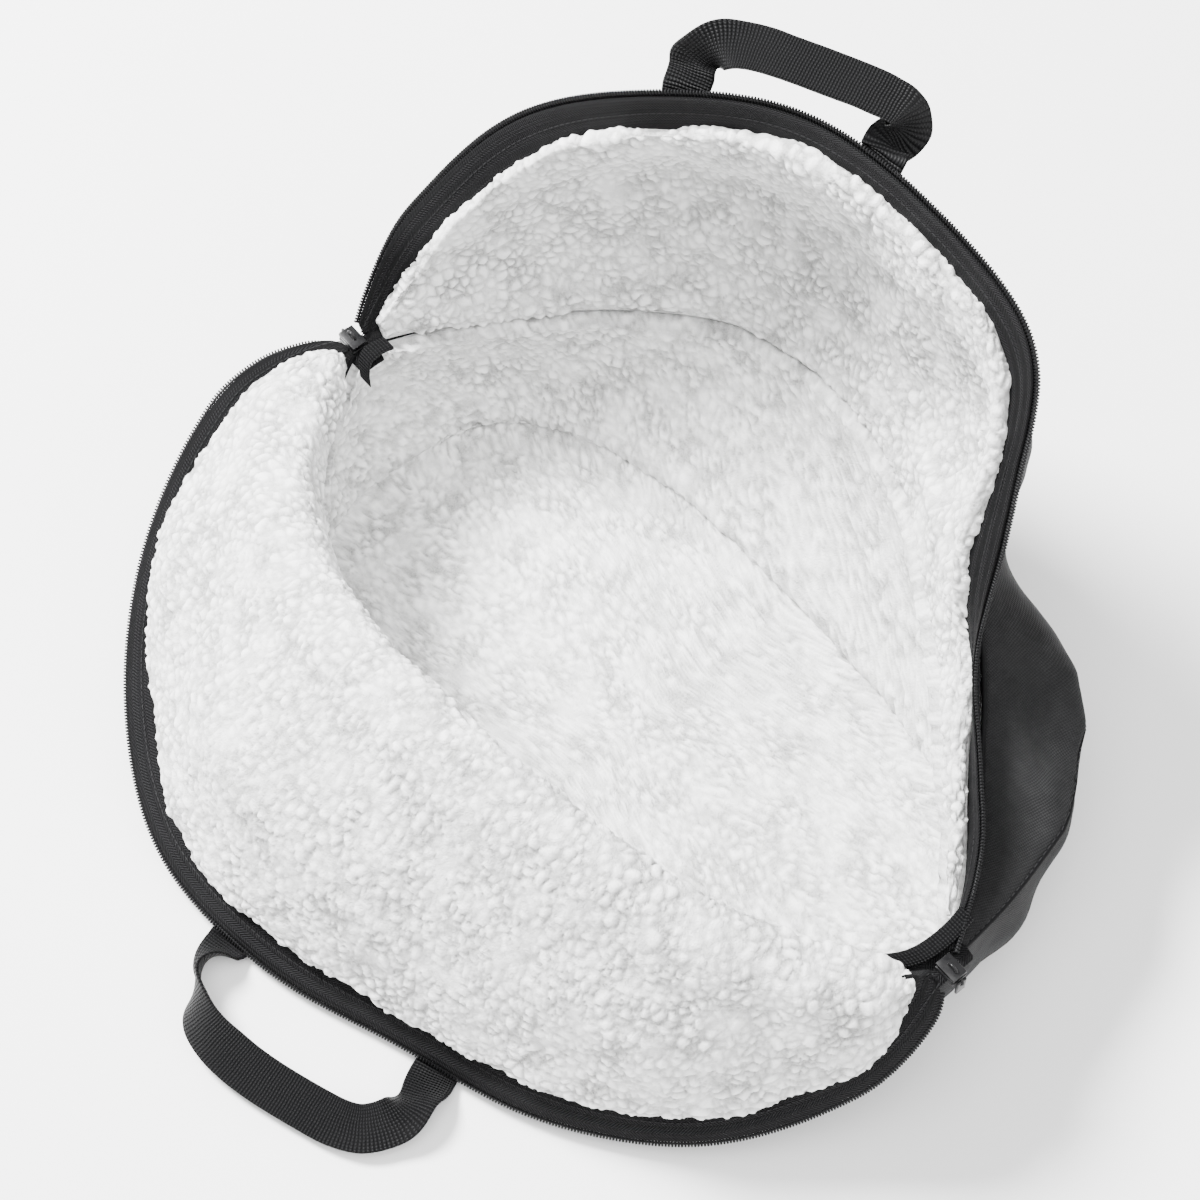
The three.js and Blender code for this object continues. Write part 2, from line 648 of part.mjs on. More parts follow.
// Pull with a round end, hanging along -Z from its top edge
function pullTab() {
  const outline = new THREE.Shape();
  const half = pullWidth / 2;
  outline.moveTo(-half, 0);
  outline.lineTo(-half, half - pullLength);
  outline.absarc(0, half - pullLength, half, Math.PI, Math.PI * 2, false);
  outline.lineTo(half, 0);
  outline.closePath();
  const geometry = new THREE.ExtrudeGeometry(outline, {
    depth: pullThickness,
    bevelEnabled: false,
    curveSegments: 6,
  });
  return geometry.translate(0, 0, -pullThickness / 2).rotateX(Math.PI / 2).rotateZ(Math.PI / 2);
}

// Short ribbed tab over the inside of a zip end, from the far rim to the near rim
function endTab(side) {
  const inside = side * (zipHalfSpan - endTabSetback);
  const centres = [-1, -0.5, 0, 0.5, 1].map((share) => new THREE.Vector3(
    inside - side * endTabCurve * share * share,
    share * endTabReach,
    zipEndHeight + endTabLift * (1 - share * share),
  ));
  const widths = centres.map(() => new THREE.Vector3(1, 0, 0));
  return strap(centres, widths, endTabWidth, endTabThickness, 8);
}

function namedMesh(name, geometry, material) {
  const mesh = new THREE.Mesh(geometry, material.clone());
  mesh.name = name;
  return mesh;
}

const bag = new THREE.Group();
const near = makePanel(nearCurve, nearFolds, -1);
const far = makePanel(farCurve, farFolds, 1);
const farNylon = makePanel(farCurve, farFolds, 1, farSag);

// Depths of the layers from the outside of the nylon inwards, and which row is at the seam
const tapeLow = fabricThickness + clearance;
const liningLow = fabricThickness + liningGap;
const liningHigh = liningLow + liningThickness;
const seamEdge = panelRows + 2;

bag.add(namedMesh('outer_base', trayBetween(0, fabricThickness), nylon));
bag.add(namedMesh('lining_base', trayBetween(liningLow, liningHigh), fleece));

[
  { side: 'near', inner: near, outer: near, path: nearHandlePath, legs: nearLegs },
  { side: 'far', inner: far, outer: farNylon, path: farHandlePath, legs: farLegs },
].forEach(({ side, inner, outer, path, legs }) => {
  const nylonPanel = panelBand(outer, {
    skippedAtEnds: 0,
    firstEdge: 2,
    lastEdge: seamEdge,
    lipGap: seamGap,
    low: 0,
    high: fabricThickness,
    edgeShare: 1,
  });
  const strip = panelBand(inner, {
    skippedAtEnds: 0,
    firstEdge: 0,
    lastEdge: 2,
    lipGap: 0,
    low: 0,
    high: fabricThickness,
    edgeShare: 1,
  });
  const lining = panelBand(inner, {
    skippedAtEnds: 1,
    firstEdge: 1,
    lastEdge: seamEdge,
    lipGap: fleeceInset,
    low: liningLow,
    high: liningHigh,
    edgeShare: liningEdgeShare,
  });
  const zipTape = panelBand(inner, {
    skippedAtEnds: 0,
    firstEdge: 0,
    lastEdge: 1,
    lipGap: 0,
    low: tapeLow,
    high: tapeLow + tapeThickness,
    edgeShare: 1,
  });
  bag.add(namedMesh(`outer_${side}_panel`, nylonPanel, nylon));
  bag.add(namedMesh(`${side}_zip_strip`, strip, nylon));
  bag.add(namedMesh(`lining_${side}_panel`, lining, fleece));
  bag.add(namedMesh(`${side}_zip_tape`, zipTape, tape));
  bag.add(namedMesh(`${side}_zip_coil`, lipTube(inner), teeth));
  bag.add(namedMesh(`${side}_handle`, handleOn(inner, legs, path), webbing));
});

[['left', -1], ['right', 1]].forEach(([name, side]) => {
  const slider = namedMesh(`slider_${name}`, sliderBody(), enamel);
  slider.position.set(side * (zipHalfSpan + sliderOffset), 0, zipEndHeight);
  slider.rotation.z = side > 0 ? 0 : Math.PI;
  const pull = namedMesh(`pull_${name}`, pullTab(), enamel);
  pull.position.set(side * (zipHalfSpan + sliderOffset + sliderLength / 2 + pullGap), 0, zipEndHeight);
  bag.add(slider, pull, namedMesh(`end_tab_${name}`, endTab(side), webbing));
});

export default bag;
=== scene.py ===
import bpy
import bmesh
import math
import numpy as np
from mathutils import Matrix, Vector, noise


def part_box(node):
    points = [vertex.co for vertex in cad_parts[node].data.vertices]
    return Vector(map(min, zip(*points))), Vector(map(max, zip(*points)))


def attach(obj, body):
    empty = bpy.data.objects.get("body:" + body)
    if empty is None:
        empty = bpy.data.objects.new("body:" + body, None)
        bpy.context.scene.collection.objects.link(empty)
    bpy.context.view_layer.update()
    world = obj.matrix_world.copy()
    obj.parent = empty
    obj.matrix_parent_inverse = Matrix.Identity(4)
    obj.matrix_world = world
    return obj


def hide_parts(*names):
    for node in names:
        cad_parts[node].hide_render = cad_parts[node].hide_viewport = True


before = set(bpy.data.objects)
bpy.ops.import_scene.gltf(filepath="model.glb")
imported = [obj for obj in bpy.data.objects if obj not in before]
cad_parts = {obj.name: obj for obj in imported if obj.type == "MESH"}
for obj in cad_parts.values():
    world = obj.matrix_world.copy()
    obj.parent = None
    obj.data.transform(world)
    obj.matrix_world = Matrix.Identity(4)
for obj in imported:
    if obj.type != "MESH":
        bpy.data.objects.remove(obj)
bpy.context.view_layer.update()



def setInputs(node, values):
    for label, value in values.items():
        node.inputs[label].default_value = value


def newMaterial(name, values):
    material = bpy.data.materials.new(name)
    material.use_nodes = True
    shader = material.node_tree.nodes["Principled BSDF"]
    setInputs(shader, values)
    return material, material.node_tree, shader


# camera, floor and lights

cameraView = {
    "azimuth": 50,
    "elevation": 62,
    "distance": 1.75,
    "target": (-0.0335, 0.0035, 0.100),
    "lens": 102.36,
    "clipStart": 0.05,
}

turn, lift = math.radians(cameraView["azimuth"]), math.radians(cameraView["elevation"])
back = Vector((math.sin(turn) * math.cos(lift), -math.cos(turn) * math.cos(lift), math.sin(lift)))
cameraData = bpy.data.cameras.new("camera")
cameraData.lens = cameraView["lens"]
cameraData.clip_start = cameraView["clipStart"]
cameraObject = bpy.data.objects.new("camera", cameraData)
cameraObject.location = Vector(cameraView["target"]) + back * cameraView["distance"]
cameraObject.rotation_euler = (-back).to_track_quat("-Z", "Y").to_euler()
bpy.context.collection.objects.link(cameraObject)
bpy.context.scene.camera = cameraObject

studio = {
    "floorSize": 8,
    "floorLevel": -0.0006,
    "floorColor": (0.97, 0.97, 0.97, 1),
    "floorRoughness": 0.85,
    "floorSpecular": 0.2,
    "skyColor": (1, 1, 1, 1),
    "skyStrength": 0.82,
    "lampTarget": (0, 0, 0.1),
    "lamps": [
        {"name": "keyLight", "place": (-1.7, -0.5, 2.3), "size": 1.0, "power": 410},
        {"name": "topLight", "place": (0.5, -0.6, 3.0), "size": 2.4, "power": 95},
        {"name": "rimLight", "place": (2.2, 0.6, 1.8), "size": 1.4, "power": 40},
    ],
}

bpy.ops.mesh.primitive_plane_add(size=studio["floorSize"], location=(0, 0, studio["floorLevel"]))
floor = bpy.context.object
floor.name = "floor"
bpy.ops.object.transform_apply(location=True)
floorMaterial = newMaterial("paleFloor", {
    "Base Color": studio["floorColor"],
    "Roughness": studio["floorRoughness"],
    "Specular IOR Level": studio["floorSpecular"],
})[0]
floor.data.materials.append(floorMaterial)

world = bpy.data.worlds.new("studio")
world.use_nodes = True
sky = {"Color": studio["skyColor"], "Strength": studio["skyStrength"]}
setInputs(world.node_tree.nodes["Background"], sky)
bpy.context.scene.world = world

for lamp in studio["lamps"]:
    lampData = bpy.data.lights.new(lamp["name"], "AREA")
    lampData.shape = "DISK"
    lampData.size = lamp["size"]
    lampData.energy = lamp["power"]
    lampObject = bpy.data.objects.new(lamp["name"], lampData)
    lampObject.location = lamp["place"]
    towards = Vector(studio["lampTarget"]) - lampObject.location
    lampObject.rotation_euler = towards.to_track_quat("-Z", "Y").to_euler()
    bpy.context.collection.objects.link(lampObject)

print("camera and studio ready")

# small helpers


def makeActive(piece):
    bpy.ops.object.select_all(action="DESELECT")
    piece.select_set(True)
    bpy.context.view_layer.objects.active = piece


def applyModifier(piece, kind, **settings):
    makeActive(piece)
    modifier = piece.modifiers.new(kind, kind)
    for name, value in settings.items():
        setattr(modifier, name, value)
    bpy.ops.object.modifier_apply(modifier=modifier.name)


def subdivideSmooth(piece, levels):
    applyModifier(piece, "SUBSURF", levels=levels, render_levels=levels)


def pieceFrom(mesh, name):
    data = bpy.data.meshes.new(name)
    mesh.to_mesh(data)
    mesh.free()
    piece = bpy.data.objects.new(name, data)
    bpy.context.collection.objects.link(piece)
    return piece


def dress(piece, material, slotName, *nodes, angle=None):
    if angle:
        makeActive(piece)
        if angle < 180:
            bpy.ops.object.shade_smooth_by_angle(angle=math.radians(angle))
        else:
            bpy.ops.object.shade_smooth()
    piece.data.materials.clear()
    piece.data.materials.append(material)
    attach(piece, "root")
    if nodes:
        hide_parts(*nodes)


# the frame's thin solids as grids of points, one grid for each side

sheets = {
    "mergeDistance": 1e-6,
    "lengthTolerance": 4e-6,
    "nylonThickness": 0.0015,
    "fleeceThickness": 0.0032,
    "tapeThickness": 0.0012,
    "patternShift": 0.0015,    # between the weave of a sheet's two sides
}


def sheetSides(name, thickness):
    mesh = bmesh.new()
    mesh.from_mesh(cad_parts[name].data)
    bmesh.ops.remove_doubles(mesh, verts=mesh.verts, dist=sheets["mergeDistance"])
    near = sheets["lengthTolerance"]           # faces of the rim have an edge as long as the sheet is thick
    free = {face for face in mesh.faces
            if not any(abs(edge.calc_length() - thickness) < near for edge in face.edges)}
    steps = [(1, 0), (0, 1), (-1, -1)]        # along, down and the triangle's slant
    sides = []
    for seed in list(mesh.faces):
        if seed not in free:
            continue
        free.discard(seed)
        spot = {seed.verts[0]: (0, 0), seed.verts[1]: (1, 0), seed.verts[2]: (1, 1)}
        grow = [(seed, 0, 1)]
        while grow:
            face, first, sign = grow.pop()
            loops = list(face.loops)
            for k in range(3):
                loop = loops[(first + k) % 3]
                other = loop.link_loop_radial_next
                if other.face not in free:
                    continue
                free.discard(other.face)
                there = list(other.face.loops)
                at = there.index(other)
                stepI, stepJ = steps[(k + 1) % 3]
                i, j = spot[loop.vert]
                spot.setdefault(there[(at + 2) % 3].vert, (i - sign * stepI, j - sign * stepJ))
                grow.append((other.face, (at - k) % 3, -sign))
        for change in (lambda i, j: (i, j), lambda i, j: (i - j, j), lambda i, j: (i, j - i)):
            turned = {change(i, j): vert for vert, (i, j) in spot.items()}
            lowI, lowJ = min(i for i, j in turned), min(j for i, j in turned)
            sizeI = max(i for i, j in turned) - lowI + 1
            sizeJ = max(j for i, j in turned) - lowJ + 1
            if sizeI * sizeJ == len(turned) == len(spot):
                grid = [[turned[lowI + i, lowJ + j].co.copy() for j in range(sizeJ)] for i in range(sizeI)]
                sides.append([list(column) for column in zip(*grid)] if sizeI < sizeJ else grid)
                break
    mesh.free()
    return sorted(sides, key=lambda grid: -len(grid) * len(grid[0]))[:2]


def lipFirst(grid, side):                      # left to right, and from the lip to the seam
    if grid[0][0].x > grid[-1][0].x:
        grid = grid[::-1]
    middle = grid[len(grid) // 2]
    lipIsLast = middle[0].y > middle[-1].y if side == "near" else middle[0].z < middle[-1].z
    return [row[::-1] for row in grid] if lipIsLast else grid


def sidesOf(name, thickness, side):            # the fleece's side first, then the outside
    first, second = (lipFirst(grid, side) for grid in sheetSides(name, thickness))
    a, b = first[len(first) // 2][1], second[len(second) // 2][1]
    firstIsInner = a.z > b.z if side == "near" else a.y < b.y
    return (first, second) if firstIsInner else (second, first)


def between(a, b, c, d, t):                    # a smooth curve through four points, from b to c
    square, cube = 2 * a - 5 * b + 4 * c - d, 3 * b - a - 3 * c + d
    return 0.5 * (2 * b + (c - a) * t + square * t * t + cube * t ** 3)


def refineLine(line, times):
    last = len(line) - 1
    made = []
    for i in range(last):
        around = line[max(i - 1, 0)], line[i], line[i + 1], line[min(i + 2, last)]
        made += [between(*around, k / times) for k in range(times)]
    return made + [line[-1].copy()]


def refine(grid, along, down=1):
    rows = [refineLine(row, down) for row in grid]
    columns = [refineLine(list(column), along) for column in zip(*rows)]
    return [list(row) for row in zip(*columns)]


def closedSheet(name, inner, outer, crease):
    rows, columns = len(inner), len(inner[0])
    mesh = bmesh.new()
    cloth = mesh.loops.layers.uv.new("cloth")
    innerSide = mesh.faces.layers.int.new("innerSide")
    outward = mesh.verts.layers.float_vector.new("outward")
    creaseLayer = mesh.edges.layers.float.new("crease_edge")
    corners = [[[mesh.verts.new(point) for point in row] for row in grid] for grid in (inner, outer)]
    flat = {}
    for side in (0, 1):
        along = 0
        for i in range(rows):
            down = 0
            if i:
                along += (inner[i][columns // 2] - inner[i - 1][columns // 2]).length
            for j in range(columns):
                if j:
                    down += (inner[i][j] - inner[i][j - 1]).length
                flat[corners[side][i][j]] = (along, down - side * sheets["patternShift"])
                corners[side][i][j][outward] = (outer[i][j] - inner[i][j]).normalized()
    faces = []
    for side, grid in enumerate(corners):
        for i in range(rows - 1):
            for j in range(columns - 1):
                square = grid[i][j], grid[i + 1][j], grid[i + 1][j + 1], grid[i][j + 1]
                faces.append((mesh.faces.new(square), side))
    ring = [(i, 0) for i in range(rows - 1)] + [(rows - 1, j) for j in range(columns - 1)]
    ring += [(i, columns - 1) for i in range(rows - 1, 0, -1)] + [(0, j) for j in range(columns - 1, 0, -1)]
    for (i, j), (m, n) in zip(ring, ring[1:] + ring[:1]):
        square = corners[0][i][j], corners[0][m][n], corners[1][m][n], corners[1][i][j]
        faces.append((mesh.faces.new(square), 2))
        for side in (0, 1):
            mesh.edges.get((corners[side][i][j], corners[side][m][n]))[creaseLayer] = crease
    for face, side in faces:
        face[innerSide] = int(side != 1)
        for loop in face.loops:
            loop[cloth].uv = flat[loop.vert]
    bmesh.ops.recalc_face_normals(mesh, faces=mesh.faces)
    return pieceFrom(mesh, name)


# materials


def addNode(tree, kind, **settings):
    made = tree.nodes.new(kind)
    for name, value in settings.items():
        setattr(made, name, value)
    return made


def calculate(tree, operation, *values):
    made = addNode(tree, "ShaderNodeMath", operation=operation)
    for socket, value in zip(made.inputs, values):
        if isinstance(value, bpy.types.NodeSocket):
            tree.links.new(value, socket)
        else:
            socket.default_value = value
    return made.outputs[0]


def addNoise(tree, place, values):
    made = addNode(tree, "ShaderNodeTexNoise")
    setInputs(made, values)
    tree.links.new(place, made.inputs["Vector"])
    return made.outputs["Fac"]


def colorAndBump(tree, shader, colors, factor, height, strength, distance):
    mix = addNode(tree, "ShaderNodeMix", data_type="RGBA")
    setInputs(mix, {"A": (*colors[0], 1), "B": (*colors[1], 1)})
    tree.links.new(factor, mix.inputs["Factor"])
    tree.links.new(mix.outputs["Result"], shader.inputs["Base Color"])
    bump = addNode(tree, "ShaderNodeBump")
    setInputs(bump, {"Strength": strength, "Distance": distance})
    tree.links.new(height, bump.inputs["Height"])
    tree.links.new(bump.outputs["Normal"], shader.inputs["Normal"])


def newGroup(name, inputs, outputs):
    tree = bpy.data.node_groups.new(name, "ShaderNodeTree")
    for label, kind, value in inputs:
        socket = tree.interface.new_socket(label, in_out="INPUT", socket_type=kind)
        if value is not None:
            socket.default_value = value
    for label, kind in outputs:
        tree.interface.new_socket(label, in_out="OUTPUT", socket_type=kind)
    return tree, tree.nodes.new("NodeGroupInput"), tree.nodes.new("NodeGroupOutput")


# crossing threads, raised where they pass over, with some threads thicker than others; the Shade output
# paints the raised crossings lighter than the gaps, a painted highlight that follows the height, varied by
# random slub
weaveGroup, weaveIn, weaveOut = newGroup(
    "threadWeave",
    [
        ("Place", "NodeSocketVector", None),
        ("Threads per metre", "NodeSocketFloat", 1400.0),
        ("Slub", "NodeSocketFloat", 0.3),
    ],
    [("Height", "NodeSocketFloat"), ("Shade", "NodeSocketFloat")],
)
split = addNode(weaveGroup, "ShaderNodeSeparateXYZ")
weaveGroup.links.new(weaveIn.outputs["Place"], split.inputs[0])
slub = addNoise(weaveGroup, weaveIn.outputs["Place"], {"Scale": 160, "Detail": 2})
wander = calculate(weaveGroup, "MULTIPLY", slub, weaveIn.outputs["Slub"])
turns = calculate(weaveGroup, "MULTIPLY", weaveIn.outputs["Threads per metre"], math.pi)
waves = []
for axis in ("X", "Y"):
    phase = calculate(weaveGroup, "MULTIPLY", split.outputs[axis], turns)
    waves.append(calculate(weaveGroup, "SINE", calculate(weaveGroup, "ADD", phase, wander)))
crossing = calculate(weaveGroup, "MULTIPLY", *waves)
height = calculate(weaveGroup, "MULTIPLY_ADD", crossing, 0.5, 0.5)
weaveGroup.links.new(height, weaveOut.inputs["Height"])
weaveGroup.links.new(calculate(weaveGroup, "MULTIPLY", slub, height), weaveOut.inputs["Shade"])

# lint and uneven dye, shared by every dark cloth
lintGroup, lintIn, lintOut = newGroup(
    "lint",
    [("Place", "NodeSocketVector", None), ("Lint", "NodeSocketFloat", 0.2)],
    [("Tint", "NodeSocketFloat")],
)
cloud = addNoise(lintGroup, lintIn.outputs["Place"], {"Scale": 22, "Detail": 5})
speck = addNoise(lintGroup, lintIn.outputs["Place"], {"Scale": 900})
specks = calculate(lintGroup, "GREATER_THAN", speck, 0.71)
specks = calculate(lintGroup, "MULTIPLY", specks, lintIn.outputs["Lint"])
lintGroup.links.new(calculate(lintGroup, "ADD", cloud, specks), lintOut.inputs["Tint"])


def clothMaterial(look):
    material, tree, shader = newMaterial(look["name"], {
        "Roughness": look["roughness"],
        "Specular IOR Level": look["specular"],
    })
    coords = addNode(tree, "ShaderNodeTexCoord")
    lint = addNode(tree, "ShaderNodeGroup", node_tree=lintGroup)
    setInputs(lint, {"Lint": look["lint"]})
    tree.links.new(coords.outputs["Object"], lint.inputs["Place"])
    if look["weave"] == "plain":
        weave = addNode(tree, "ShaderNodeGroup", node_tree=weaveGroup)
        setInputs(weave, {"Threads per metre": look["threads"], "Slub": look["slub"]})
        tree.links.new(coords.outputs["UV"], weave.inputs["Place"])
        height, paintedCrestLight = weave.outputs["Height"], weave.outputs["Shade"]
    else:
        split = addNode(tree, "ShaderNodeSeparateXYZ")
        tree.links.new(coords.outputs["UV"], split.inputs[0])
        along, across = split.outputs["X"], split.outputs["Y"]
        zigzag = calculate(tree, "PINGPONG", across, look["band"])
        slant = calculate(tree, "MULTIPLY", zigzag, look["slant"])
        ribs = calculate(tree, "MULTIPLY", calculate(tree, "ADD", along, slant), look["ribs"] * 2 * math.pi)
        height = calculate(tree, "ABSOLUTE", calculate(tree, "SINE", ribs))
        cords = calculate(tree, "SINE", calculate(tree, "MULTIPLY", across, look["cords"] * math.pi))
        cords = calculate(tree, "ADD", calculate(tree, "ABSOLUTE", cords), 0.8)
        height = calculate(tree, "MULTIPLY", height, cords)
        # the ribs' height is used again as painted highlight on the crests
        paintedCrestLight = height
    # the colour mixes random lint and dye tone with painted light: raised threads and rib crests lighter, the
    # gaps between them darker
    blend = calculate(tree, "MULTIPLY", calculate(tree, "ADD", paintedCrestLight, lint.outputs["Tint"]), 0.55)
    colorAndBump(tree, shader, (look["dark"], look["light"]), blend, height, look["bump"], look["depth"])
    return material


# in each cloth the mix from dark to light carries random lint and dye tone and also painted highlight on
# raised threads
nylonMaterial = clothMaterial({
    "name": "wovenNylon", "weave": "plain", "threads": 1100, "slub": 2.4, "dark": (0.002, 0.002, 0.0022),
    "light": (0.030, 0.030, 0.0308), "roughness": 0.58, "specular": 0.06, "lint": 0.18,
    "bump": 0.7, "depth": 0.0005,
})
stripMaterial = clothMaterial({
    "name": "facingStrip", "weave": "plain", "threads": 1000, "slub": 2.8, "dark": (0.0015, 0.0015, 0.0017),
    "light": (0.010, 0.010, 0.0106), "roughness": 0.62, "specular": 0.05, "lint": 0.2,
    "bump": 0.7, "depth": 0.0005,
})
tapeMaterial = clothMaterial({
    "name": "herringboneTape", "weave": "ribs", "band": 0.0042, "slant": 1.0, "ribs": 300, "cords": 480,
    "dark": (0.001, 0.001, 0.0011), "light": (0.014, 0.014, 0.0147), "roughness": 0.65,
    "specular": 0.05, "lint": 0.25, "bump": 0.9, "depth": 0.0006,
})
webbingMaterial = clothMaterial({
    "name": "ribbedWebbing", "weave": "ribs", "band": 0.00625, "slant": 0.04, "ribs": 300, "cords": 560,
    "dark": (0.001, 0.001, 0.0011), "light": (0.008, 0.008, 0.0085), "roughness": 0.45,
    "specular": 0.09, "lint": 0.12, "bump": 0.9, "depth": 0.0006,
})
webMaterial = clothMaterial({
    "name": "coarseZipWeb", "weave": "plain", "threads": 520, "slub": 4.0, "dark": (0.001, 0.001, 0.0011),
    "light": (0.02, 0.02, 0.021), "roughness": 0.7, "specular": 0.05, "lint": 0.6,
    "bump": 1.0, "depth": 0.0008,
})


def plainMaterial(look):
    material, tree, shader = newMaterial(look["name"], {
        "Coat Weight": look["coat"],
        "Coat Roughness": 0.12,
        "Specular IOR Level": look["specular"],
    })
    coords = addNode(tree, "ShaderNodeTexCoord")
    wear = addNoise(tree, coords.outputs["Object"], {"Scale": look["grain"], "Detail": 4})
    worn = calculate(tree, "MULTIPLY", wear, 0.25)
    tree.links.new(calculate(tree, "ADD", worn, look["roughness"] - 0.12), shader.inputs["Roughness"])
    colorAndBump(tree, shader, (look["dark"], look["light"]), wear, wear, look["bump"], 0.0002)
    return material


teethMaterial = plainMaterial({
    "name": "zipTeeth", "dark": (0.002, 0.002, 0.0025), "light": (0.012, 0.012, 0.0125),
    "coat": 0.0, "specular": 0.12, "roughness": 0.42, "grain": 800, "bump": 0.2,
})
enamelMaterial = plainMaterial({
    "name": "blackEnamel", "dark": (0.002, 0.002, 0.0025), "light": (0.012, 0.012, 0.0125),
    "coat": 0.12, "specular": 0.2, "roughness": 0.3, "grain": 260, "bump": 0.15,
})
threadMaterial = plainMaterial({
    "name": "sewingThread", "dark": (0.004, 0.004, 0.0045), "light": (0.03, 0.03, 0.031),
    "coat": 0.0, "specular": 0.1, "roughness": 0.6, "grain": 3000, "bump": 0.6,
})


def fleeceMaterialFor(look):
    material, tree, shader = newMaterial(look["name"], {
        "Roughness": 0.95,
        "Specular IOR Level": 0.15,
        "Sheen Weight": look["sheen"],
        "Sheen Roughness": 0.6,
    })
    coords = addNode(tree, "ShaderNodeTexCoord")
    # painted shade: the fleece's colour is mixed towards the dark colour in its crevices, varied by the curl
    # noise
    paintedCreviceShade = addNode(tree, "ShaderNodeAttribute", attribute_name="paintedCreviceShade")
    curl = addNoise(tree, coords.outputs["Object"], {"Scale": look["curl"], "Detail": 3, "Distortion": 1.2})
    hair = calculate(tree, "ADD", calculate(tree, "MULTIPLY", curl, 0.8), 0.35)
    shade = calculate(tree, "MULTIPLY", paintedCreviceShade.outputs["Fac"], hair)
    colorAndBump(tree, shader, (look["light"], look["dark"]), shade, curl, look["bump"], 0.001)
    return material


# the dark colour is the painted shade in the fleece's crevices; the light colour is the fleece's own
fleeceMaterial = fleeceMaterialFor({
    "name": "sherpaFleece", "light": (0.95, 0.95, 0.945), "dark": (0.20, 0.20, 0.196),
    "sheen": 0.05, "curl": 560, "bump": 0.8,
})

print("materials ready")

# folds that the photograph shows, in millimetres

nearFolds = [
    {"depth": 4.5, "width": 15, "line": [(-227, -62, 122), (-184, -96, 135), (-131, -127, 149)]},
    {"depth": 2.0, "width": 14, "line": [(-222, -120, 72), (-179, -162, 90)]},
    {"depth": 2.5, "width": 16,
     "line": [(-73, -136, 160), (13, -129, 164), (99, -108, 153), (168, -82, 134)]},
    {"depth": -2.2, "width": 13,
     "line": [(-125, -155, 129), (-47, -150, 152), (36, -155, 135), (100, -152, 110)]},
    {"depth": 3.6, "width": 24, "line": [(-123, -186, 92), (-61, -201, 95), (0, -200, 76), (73, -183, 56)]},
    {"depth": 4.0, "width": 15, "line": [(194, -69, 126), (215, -37, 122)]},
    {"depth": -2.4, "width": 8, "line": [(168, -78, 134), (194, -78, 120), (204, -95, 87)]},
    {"depth": -2.0, "width": 12, "line": [(-239, -95, 103), (-157, -154, 112)]},
    {"depth": 2.5, "width": 18, "line": [(116, -147, 108), (164, -137, 80)]},
]
farFolds = [
    {"depth": 4.5, "width": 16,
     "line": [(-217, 75, 161), (-196, 113, 177), (-169, 145, 172), (-145, 162, 156)]},
    {"depth": -2.2, "width": 11, "line": [(-188, 105, 135), (-159, 136, 131), (-133, 160, 133)]},
    {"depth": -2.4, "width": 13, "line": [(-151, 138, 267), (-145, 163, 213), (-118, 181, 204)]},
    {"depth": 4.0, "width": 13, "line": [(-132, 172, 161), (-110, 184, 160), (-86, 190, 149)]},
    {"depth": -2.4, "width": 16, "line": [(-108, 167, 112), (-65, 188, 133), (-27, 187, 141), (3, 179, 127)]},
    {"depth": 5.0, "width": 18, "line": [(-52, 195, 225), (2, 183, 254), (23, 197, 202), (45, 190, 170)]},
    {"depth": 4.5, "width": 7, "line": [(-16, 187, 140), (11, 178, 129), (53, 157, 126), (94, 129, 133)]},
    {"depth": -2.6, "width": 4, "line": [(-121, 164, 123), (-135, 165, 143), (-151, 163, 181)]},
    {"depth": -2.2, "width": 4, "line": [(-121, 164, 123), (-111, 163, 104)]},
    {"depth": 3.0, "width": 14, "line": [(-82, 171, 275), (-47, 180, 266)]},
]
shellFolds = [
    {"depth": 2.5, "width": 17, "line": [(116, 155, 132), (140, 150, 122), (150, 146, 114)]},
    {"depth": 7.0, "width": 13, "line": [(152, 150, 106), (168, 141, 98)]},
    {"depth": 2.5, "width": 9, "line": [(148, 119, 114), (182, 102, 100), (201, 99, 92)]},
]


def foldDepth(places, folds):
    total = np.zeros(len(places))
    for fold in folds:
        nearest = np.full(len(places), 1e9)
        for a, b in zip(fold["line"], fold["line"][1:]):
            a, b = np.array(a, float), np.array(b, float)
            share = np.clip(((places - a) @ (b - a)) / ((b - a) @ (b - a)), 0, 1)
            nearest = np.minimum(nearest, np.linalg.norm(places - a - share[:, None] * (b - a), axis=1))
        total += fold["depth"] * np.exp(-((nearest / fold["width"]) ** 2))
    return total


# fleece lining

fleece = {                 # lengths in millimetres
    "tuft": 5.8,           # from one tuft to the next
    "lift": 2.1,
    "sink": 0.6,           # share of the lift that lies below the cloth
    "edgeWidth": 0.5,      # of the slope down to a crevice, as a share of a tuft
    "edgeRound": 0.7,
    "dome": 0.2,
    "warp": 2.6,
    "warpSize": 9,
    "frizz": 0.6,
    "frizzSize": 3.5,
    "evenness": 0.85,
    "uneven": 0.6,
    "unevenSize": 16,
    "unevenStart": (7, 3, 1),
    "clump": 15,
    "clumpEdge": 0.25,
    "clumpLift": 0.7,
    "swell": 1.6,
    "swellSize": 30,
    "pile": 0.9,
    # the width of the painted shade in the crevices, and how much painted shade the clump edges get
    "creviceWidth": 0.42,
    "clumpShade": 0.18,
    "crease": 0.5,
    "leastDepth": -2.0,
    "lipWave": 24,
    "lipDepth": 5,
    "lipDraw": {"near": 5.0, "far": 3.5},
    "leftDraw": 8.0,       # more of the tape shows on the near panel's left
    "leftFrom": 60,
    "leftFade": 80,
    "lipReach": 40,
    "backTuck": 1.8,
    "lipTaper": 0.5,
    "grain": {"near": (4, 5), "far": (4, 4)},
}
tabFolds = [{"depth": -4.5, "width": 10, "line": [(x, -16, 108), (x, 20, 110)]} for x in (-221, 221)]


